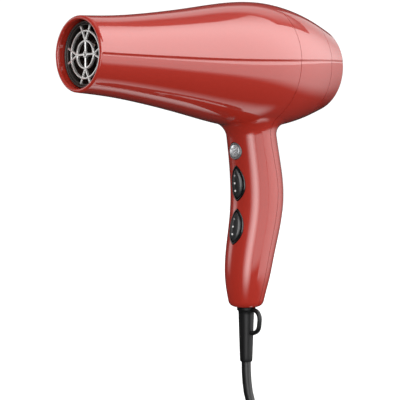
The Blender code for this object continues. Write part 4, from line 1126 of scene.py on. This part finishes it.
def rocker(name, z):
    """A domed leaf-shaped rocker with a soft crest, and three dots let into the crest."""
    back = handle_front(z) + ROCKER_DEPTH
    body = f"{name}_rocker"

    def top_x(y, up, share):
        crest = ROCKER_CREST * math.exp(-((y / 0.0011) ** 2)) * (1 - share**4)
        return surface_x(y, z + up) - float(rocker_rise(share)) - crest

    bm = bmesh.new()
    outline = leaf(LEAF_HALF[0] * ROCKER_TIP_SHARE, LEAF_HALF[1], LEAF_POINTS)
    rings = [[(back, ROCKER_BACK_SHARE * y, z + ROCKER_BACK_SHARE * up) for y, up in outline]]
    for share in ROCKER_SHARES:
        ring = []
        for y, up in outline:
            y, up = y * share, up * share
            ring.append((top_x(y, up, share), y, z + up))
        rings.append(ring)
    rings.append([(top_x(0, 0, 0), 0, z)])
    loft(bm, rings)
    piece(body, bm, "rocker", "black_plastic", body, sharp=50)

    for label, up, finish in DOTS:
        x = top_x(0, up, abs(up) / LEAF_HALF[0])
        profile = [(x - 0.00012, 0), (x - 0.00010, DOT_R * 0.7), (x + 0.00005, DOT_R)]
        profile += [(x + 0.0008, DOT_R), (x + 0.0008, 0)]
        bm = bmesh.new()
        turned(bm, profile, 32, (0.0, z + up))
        piece(f"{name}_dot_{label}", bm, finish, "ivory_plastic", body, stands_in=False)


def snowflake(y, z):
    """How far a point of the button's face, in shares of its radius, stands up: 0 to 1."""
    radius = math.hypot(y, z)
    angle = math.remainder(math.atan2(y, z), math.pi / 3)
    along, across = radius * math.cos(angle), abs(radius * math.sin(angle))
    near = across
    slope = math.pi / 3.4
    for root in FLAKE_BRANCHES:
        reach = (along - root) * math.cos(slope) + across * math.sin(slope)
        if 0 < reach < FLAKE_BRANCH:
            near = min(near, abs((along - root) * math.sin(slope) - across * math.cos(slope)))
    arm = max(0.0, 1 - (near / FLAKE_ARM) ** 2)
    return arm if radius < 0.86 else arm * max(0.0, (0.92 - radius) / 0.06)


def cool_shot():
    """The silver button with its snowflake, a stem and a cup for the spring, and the ring round it."""
    x = handle_front(COOL_Z)
    inner, outer = COOL_R + HOLE_GAP, COOL_R + COOL_RING
    bm = bmesh.new()
    outline = [(x - 0.0005, inner), (x - 0.0005, outer), (x + 0.0050, outer), (x + 0.0050, inner)]
    turned(bm, rounded(outline, 0.0005), centre=(0.0, COOL_Z))
    for v in bm.verts:
        if v.co.x < x + 0.0006:
            v.co.x += 0.8 * (surface_x(v.co.y, v.co.z) - surface_x(0, v.co.z))
    piece("cool_shot_ring", bm, "ring", "black_plastic")

    stem, cup = STEM_R / COOL_R, CUP_R / COOL_R
    profile = [(STEM_END, stem), (CUP_FLOOR, stem), (CUP_FLOOR, cup), (BUTTON_BACK, cup)]
    profile += [(BUTTON_BACK, 1.0), (0.0001, 1.0), (-0.0001, 0.985)]
    plain = len(profile)
    for share in np.linspace(0.96, 0.04, 34):
        profile.append((-0.0002 - 0.0006 * (1 - float(share) ** 2), float(share)))
    bm = bmesh.new()
    rings = []
    for n, (depth, share) in enumerate(profile):
        ring = []
        for y, z in circle(share, BUTTON_SIDES):
            lift = FLAKE_HEIGHT * snowflake(y, z) if n >= plain else 0.0
            ring.append(bm.verts.new((x + depth - lift, y * COOL_R, COOL_Z + z * COOL_R)))
        rings.append(ring)
    rings.append([bm.verts.new((x - 0.0008 - FLAKE_HEIGHT, 0, COOL_Z))])
    skin(bm, rings)
    bm.faces.new(rings[0])
    piece("cool_shot_button", bm, "silver", "silver_chrome", "cool_shot_button", sharp=60)


# ---------------------------------------------------------------- strain relief, cord and plug


def upright(bm, profile, centre, sides=64):
    """A body turned about an upright axis from (height, radius) points, with flat ends."""
    loft(bm, [[(centre[0] + a, centre[1] + b, z) for a, b in circle(r, sides)] for z, r in profile])


def strain_relief():
    """Flange and neck in the handle, then collar, tapered boot and hang loop."""
    shoulder = BOOT_TOP + 0.0032
    steps = [
        (BOOT_TOP + 0.0066, COLLAR_R - 0.0010),
        (shoulder, COLLAR_R - 0.0010),
        (shoulder, NECK_R),
        (BOOT_TOP, NECK_R),
        (BOOT_TOP, COLLAR_R - 0.0004),
        (BOOT_TOP - 0.0004, COLLAR_R),
        (BOOT_TOP - 0.0021, COLLAR_R),
        (BOOT_TOP - 0.0026, COLLAR_R - 0.0002),
        (BOOT_TOP - 0.0031, BOOT_R[0] + 0.0003),
        (BOOT_TOP - 0.0036, BOOT_R[0]),
    ]
    for z in np.linspace(BOOT_TOP - 0.006, BOOT_END + 0.0040, 8):
        share = (BOOT_TOP - 0.0036 - z) / (BOOT_TOP - 0.0036 - BOOT_END)
        steps.append((float(z), BOOT_R[0] + (BOOT_R[1] - BOOT_R[0]) * float(share)))
    for up, shrink in ((0.0012, 0.0), (0.0004, 0.0003), (0.0, 0.0009)):
        steps.append((BOOT_END + up, BOOT_R[1] - shrink))
    bm = bmesh.new()
    upright(bm, steps, (BOOT_X, 0.0))
    boot = piece("strain_relief", bm, "boot", "black_plastic", sharp=40)
    top = BOOT_TOP - 0.0019
    route = [
        (-0.0040, top),
        (-0.0095, top - 0.0001),
        (0.0022 - LOOP_REACH, top - 0.0012),
        (-LOOP_REACH, top - 0.0045),
        (-LOOP_REACH, LOOP_BOTTOM + 0.0080),
        (0.0010 - LOOP_REACH, LOOP_BOTTOM + 0.0040),
        (0.0046 - LOOP_REACH, LOOP_BOTTOM + 0.0010),
        (-0.0040, LOOP_BOTTOM),
    ]
    points = smooth_path([(BOOT_X, y, z) for y, z in route], 0.0008)
    bm = bmesh.new()
    loft(bm, bar_rings(points, LOOP_BAR_R, 20, 1.15, (1, 0, 0)))
    unite(boot, scratch(bm))


def falling_arc(angle):
    """A point of the bend that brings the hanging cord down onto the coil's outer top turn."""
    heading = Vector((*CORD_HEADING, 0)).normalized()
    out = Vector((heading.y, -heading.x, 0))
    place = Vector((*COIL_CENTRE, COIL_BASE + CORD_R * 3)) + out * coil_radius(2)
    rise = Vector((0, 0, CORD_BEND_R * (1 - math.cos(angle))))
    return place - heading * CORD_BEND_R * math.sin(angle) + rise


def coil_radius(row):
    """The radius of one of the coil's rows: 0 inside, 1 in the middle, 2 outside."""
    return COIL_MEAN_R + (row - 1) * 2 * CORD_R


def coil_turns():
    """The wound part: in over the top layer, down, and out along the bottom layer."""

    def moved(turns, start):
        share = min(1.0, max(0.0, (turns - start) / COIL_SHIFT))
        return 0.5 - 0.5 * math.cos(math.pi * share)

    first = math.atan2(-CORD_HEADING[0], CORD_HEADING[1])
    total = (math.pi / 2 - first) / (2 * math.pi) + COIL_WHOLE_TURNS
    inward, down, outward = (0.79, 1.79), 2.69, (3.60, 4.60)
    count = round(total * COIL_POINTS)
    points = []
    for k in range(count + 1):
        t = total * k / count
        row = 2 - sum(moved(t, start) for start in inward) + sum(moved(t, start) for start in outward)
        layer = 1 - moved(t, down)
        x, y = polar(coil_radius(row), first + 2 * math.pi * t)
        z = COIL_BASE + CORD_R * (1 + 2 * layer)
        points.append((COIL_CENTRE[0] + x, COIL_CENTRE[1] + y, z))
    return points


def cord():
    """The whole lead as one smooth curve, with its tie, plug and pins."""
    route = CORD_ROUTE + [tuple(falling_arc(angle)) for angle in CORD_ARC]
    hanging = [tuple(p) for p in smooth_path(route, 0.0085)]
    coil = coil_turns()
    tail = [tuple(p) for p in smooth_path([coil[-1]] + TAIL_ROUTE, 0.011)]
    points = hanging + coil + tail[1:]
    curve = bpy.data.curves.new("cord_fine", "CURVE")
    curve.dimensions = "3D"
    curve.bevel_depth = CORD_R
    curve.bevel_resolution = 6
    curve.use_fill_caps = True
    spline = curve.splines.new("POLY")
    spline.points.add(len(points) - 1)
    for place, point in zip(spline.points, points):
        place.co = (*point, 1)
    spline.use_smooth = True
    curve.materials.append(MATERIALS["cord"])
    obj = in_scene("cord_fine", curve)
    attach(obj, "housing")
    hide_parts("cord", "cord_coil", "cord_tail")
    length = sum((Vector(b) - Vector(a)).length for a, b in zip(points, points[1:]))
    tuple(CORD_ROUTE[0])
    tie()
    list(plug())


def tie():
    """A soft strap round the coil, as wide as a finger, with rounded edges."""
    low = coil_radius(0) - CORD_R - 0.0006
    high = coil_radius(2) + CORD_R + 0.0003
    z0, z1 = COIL_BASE - 0.0003, COIL_BASE + 4 * CORD_R + 0.0003
    out = Vector((math.cos(TIE_ANGLE), math.sin(TIE_ANGLE), 0))
    side = Vector((-out.y, out.x, 0))
    middle = Vector((*COIL_CENTRE, 0))
    edge = TIE_HALF - 0.0004
    section = [(0.0, edge), (0.0, -edge), (0.0002, -TIE_HALF), (0.0005, -TIE_HALF)]
    section += [(0.0007, -edge), (0.0007, edge), (0.0005, TIE_HALF), (0.0002, TIE_HALF)]
    rings = []
    for grow, wide in section:
        r0, r1, bottom, top = low - grow, high + grow, z0 - grow, z1 + grow
        outline = rounded([(r0, bottom), (r1, bottom), (r1, top), (r0, top)], 0.0034 + grow, 8)
        rings.append([middle + out * r + side * wide + Vector((0, 0, z)) for r, z in outline])
    bm = bmesh.new()
    hoop(bm, rings)
    return piece("cord_tie", bm, "bezel", "black_plastic")


def plug():
    """Two-pin mains plug with a waist for the fingers, and pins in black sleeves."""
    start = Vector(TAIL_ROUTE[-1])
    ahead = (start - Vector(TAIL_ROUTE[-2])).normalized()
    side = Vector((-ahead.y, ahead.x, 0))
    lift = Vector((0, 0, 1))
    wide_at = smooth_curve([(p[0], p[1]) for p in PLUG_FORM])
    tall_at = smooth_curve([(p[0], p[2]) for p in PLUG_FORM])
    rings = []
    for along in np.linspace(PLUG_FORM[0][0], PLUG_LENGTH, 34):
        face = max(0.0, (along - PLUG_LENGTH + 0.0015) / 0.0015)
        shrink = 1 - 0.06 * face**2
        wide, tall = float(wide_at(along)) * shrink, float(tall_at(along)) * shrink
        centre = start + ahead * float(along)
        centre.z = FLOOR_Z + 0.0002 + float(tall_at(along))
        ring = []
        for across, rise in circle(1, 56):
            across = math.copysign(abs(across) ** 0.7, across) * wide
            rise = math.copysign(abs(rise) ** 0.7, rise) * tall
            ring.append(centre + side * across + lift * rise)
        rings.append(ring)
    bm = bmesh.new()
    loft(bm, rings)
    made = [piece("plug", bm, "boot", "black_plastic", sharp=40)]
    face = start + ahead * (PLUG_LENGTH + 0.0003)
    face.z = FLOOR_Z + 0.0002 + PLUG_FORM[-1][2]
    for side_name, way in (("left", 1), ("right", -1)):
        root = face + side * way * PIN_SPREAD
        for label, profile, finish, slot in PIN_PARTS:
            rings = []
            for along, r in profile:
                centre = root + ahead * along
                rings.append([centre + side * a + lift * b for a, b in circle(r, 32)])
            bm = bmesh.new()
            loft(bm, rings)
            name = f"plug_pin_{side_name}{label}"
            made.append(piece(name, bm, finish, slot, stands_in=not label))
    return made


# ---------------------------------------------------------------- camera, light and floor


def camera():
    """The scene's camera."""
    data = bpy.data.cameras.new("camera")
    data.lens = LENS
    data.sensor_width = 36
    obj = in_scene("camera", data)
    obj.location = CAMERA_PLACE
    obj.rotation_euler = (CAMERA_TARGET - CAMERA_PLACE).to_track_quat("-Z", "Y").to_euler()
    bpy.context.scene.camera = obj


TO_CAMERA = ((CAMERA_PLACE - CAMERA_TARGET) * Vector((1, 1, 0))).normalized()
TO_RIGHT = Vector((-TO_CAMERA.y, TO_CAMERA.x, 0))
STUDIO_CENTRE = Vector((-0.03, 0.0, 0.09))
AMBIENT = (0.45, 1.80)
AMBIENT_WAY = (Vector((0, 0, 0.85)) + TO_RIGHT * 0.5 + TO_CAMERA * 0.1).normalized()
REFLECTED_GREY = (0.03, 0.03, 0.03, 1)
SEEN_WHITE = (1.1, 1.1, 1.1, 1)
FLOOR_WHITE = (0.93, 0.93, 0.93)
PANELS = [
    # name, turn, rise, distance, span, low, high, radiance, soft edges, fade
    ("key", 100, 0, 1.2, (-1.25, 2.2), (-0.126, 0.46), (2.9, 2.2),
     6.2, (0.02, 0.05, 0.01, 0.05), (0.23, 0.70, 0.155)),
    ("side", 100, 0, 1.2, (-1.25, 2.2), (-0.8, -0.6), (-0.120, 0.466),
     2.8, (0.02, 0.05, 0.35, 0.01), (0.23, 0.70, 0.09)),
    ("side_front", 32, 0, 1.2, (-0.52, 0.52), (-0.4, -0.4), (0.6, 0.6),
     2.6, (0.05, 0.05, 0.2, 0.1)),
    ("strip", 1, 0, 1.1, (-0.64, 0.36), (-0.85, -0.85), (0.9, 0.9),
     8.0, (0.65, 0.03, 0.4, 0.2), (0.62, 1.0, 0.3)),
    ("rim", -110, 0, 1.2, (-0.45, 0.45), (-0.35, -0.35), (0.6, 0.6),
     2.4, (0.4, 0.4, 0.4, 0.2)),
    ("low", 146, -62, 1.3, (-0.62, 0.6), (-0.4, -0.4), (0.3, 0.3),
     2.1, (0.35, 0.35, 0.3, 0.3)),
    ("top", 100, 80, 1.3, (-0.8, 0.8), (-0.2, -0.2), (0.9, 0.9),
     0.7, (0.2, 0.2, 0.2, 0.2)),
    ("back_top", 165, 46, 1.3, (-0.8, 0.8), (-0.2, -0.2), (0.35, 0.35),
     1.1, (0.3, 0.3, 0.3, 0.3)),
]


def toward(turn, rise):
    """A direction from the object: turn degrees to the right of the camera, rise degrees up."""
    turn, rise = math.radians(turn), math.radians(rise)
    level = TO_CAMERA * math.cos(turn) + TO_RIGHT * math.sin(turn)
    return level * math.cos(rise) + Vector((0, 0, math.sin(rise)))


def softbox(name, turn, rise, distance, span, low, high, radiance, edges, fade=None):
    """A glowing panel that faces the object from a direction, seen only in reflections.

    span is its left and right end, low and high the heights of its lower and upper edge at the
    left and right end, all in metres from its centre line. edges are the soft shares left, right,
    below and above. fade (start, end, value) dims it along its width to that share."""
    out = toward(turn, rise)
    side = Vector((0, 0, 1)).cross(out).normalized()
    up = out.cross(side)
    centre = STUDIO_CENTRE + out * distance
    bm = bmesh.new()
    places = [(span[0], low[0]), (span[1], low[1]), (span[1], high[1]), (span[0], high[0])]
    face = bm.faces.new([bm.verts.new(centre + side * a + up * b) for a, b in places])
    uv = bm.loops.layers.uv.new("UVMap")
    for loop, corner in zip(face.loops, ((0, 0), (1, 0), (1, 1), (0, 1))):
        loop[uv].uv = corner
    mesh = mesh_of(name, bm)
    made = bpy.data.materials.new(name)
    made.use_nodes = True
    tree = made.node_tree
    tree.nodes.remove(tree.nodes["Principled BSDF"])
    split = node(tree, "SeparateXYZ")
    links(tree, (node(tree, "TexCoord").outputs["UV"], split.inputs[0]))
    ramps = [("X", 0, edges[0], 0, 1), ("X", 1, 1 - edges[1], 0, 1)]
    ramps += [("Y", 0, edges[2], 0, 1), ("Y", 1, 1 - edges[3], 0, 1)]
    if fade:
        ramps.append(("X", fade[0], fade[1], 1, fade[2]))
    value = None
    for axis, *limits in ramps:
        ramp = node(tree, "MapRange", interpolation_type="SMOOTHSTEP")
        for key, limit in zip(("From Min", "From Max", "To Min", "To Max"), limits):
            ramp.inputs[key].default_value = limit
        links(tree, (split.outputs[axis], ramp.inputs["Value"]))
        product = node(tree, "Math", operation="MULTIPLY")
        product.inputs[0].default_value = radiance
        links(tree, (ramp.outputs["Result"], product.inputs[1]))
        if value:
            links(tree, (value, product.inputs[0]))
        value = product.outputs[0]
    glow = node(tree, "Emission")
    surface_input = tree.nodes["Material Output"].inputs["Surface"]
    links(tree, (value, glow.inputs["Strength"]), (glow.outputs[0], surface_input))
    mesh.materials.append(made)
    obj = in_scene(name, mesh)
    obj.visible_camera = False
    obj.visible_shadow = False
    obj.visible_diffuse = False


def studio():
    """White surroundings, a soft light that comes mostly from above, and the glowing panels."""
    bpy.context.scene.view_settings.view_transform = "Standard"
    world = bpy.data.worlds.new("studio")
    bpy.context.scene.world = world
    world.use_nodes = True
    tree = world.node_tree
    background = tree.nodes["Background"]
    path = node(tree, "LightPath")
    facing = node(tree, "VectorMath", operation="DOT_PRODUCT")
    facing.inputs[1].default_value = AMBIENT_WAY
    level = node(tree, "MapRange", From_Min=-1.0, To_Min=AMBIENT[0], To_Max=AMBIENT[1])
    ambient = node(tree, "Mix", data_type="RGBA")
    ambient.inputs[7].default_value = REFLECTED_GREY
    seen = node(tree, "Mix", data_type="RGBA")
    seen.inputs[7].default_value = SEEN_WHITE
    links(
        tree,
        (node(tree, "TexCoord").outputs["Generated"], facing.inputs[0]),
        (facing.outputs["Value"], level.inputs["Value"]),
        (level.outputs["Result"], ambient.inputs[6]),
        (path.outputs["Is Glossy Ray"], ambient.inputs[0]),
        (ambient.outputs[2], seen.inputs[6]),
        (path.outputs["Is Camera Ray"], seen.inputs[0]),
        (seen.outputs[2], background.inputs["Color"]),
    )
    for panel in PANELS:
        softbox(*panel)


def floor():
    """A large pale disc under the cord, which only the camera sees."""
    bm = bmesh.new()
    bmesh.ops.create_circle(bm, cap_ends=True, segments=96, radius=4.0)
    for v in bm.verts:
        v.co.z = FLOOR_Z
    mesh = mesh_of("floor", bm)
    mesh.materials.append(surface("floor_paper", FLOOR_WHITE, 0.9, mottle=(3, 0.01), grain=(200, 0.01)))
    obj = in_scene("floor", mesh)
    obj.visible_glossy = False
    obj.visible_diffuse = False


# ---------------------------------------------------------------- all together

camera()
cord()
shells()
duct()
outlet_grille()
inlet_grille()
for name, height in zip(("speed", "heat"), ROCKER_Z):
    bezel(name, height)
    rocker(name, height)
cool_shot()
strain_relief()
finish_cad_nodes()
studio()
floor()
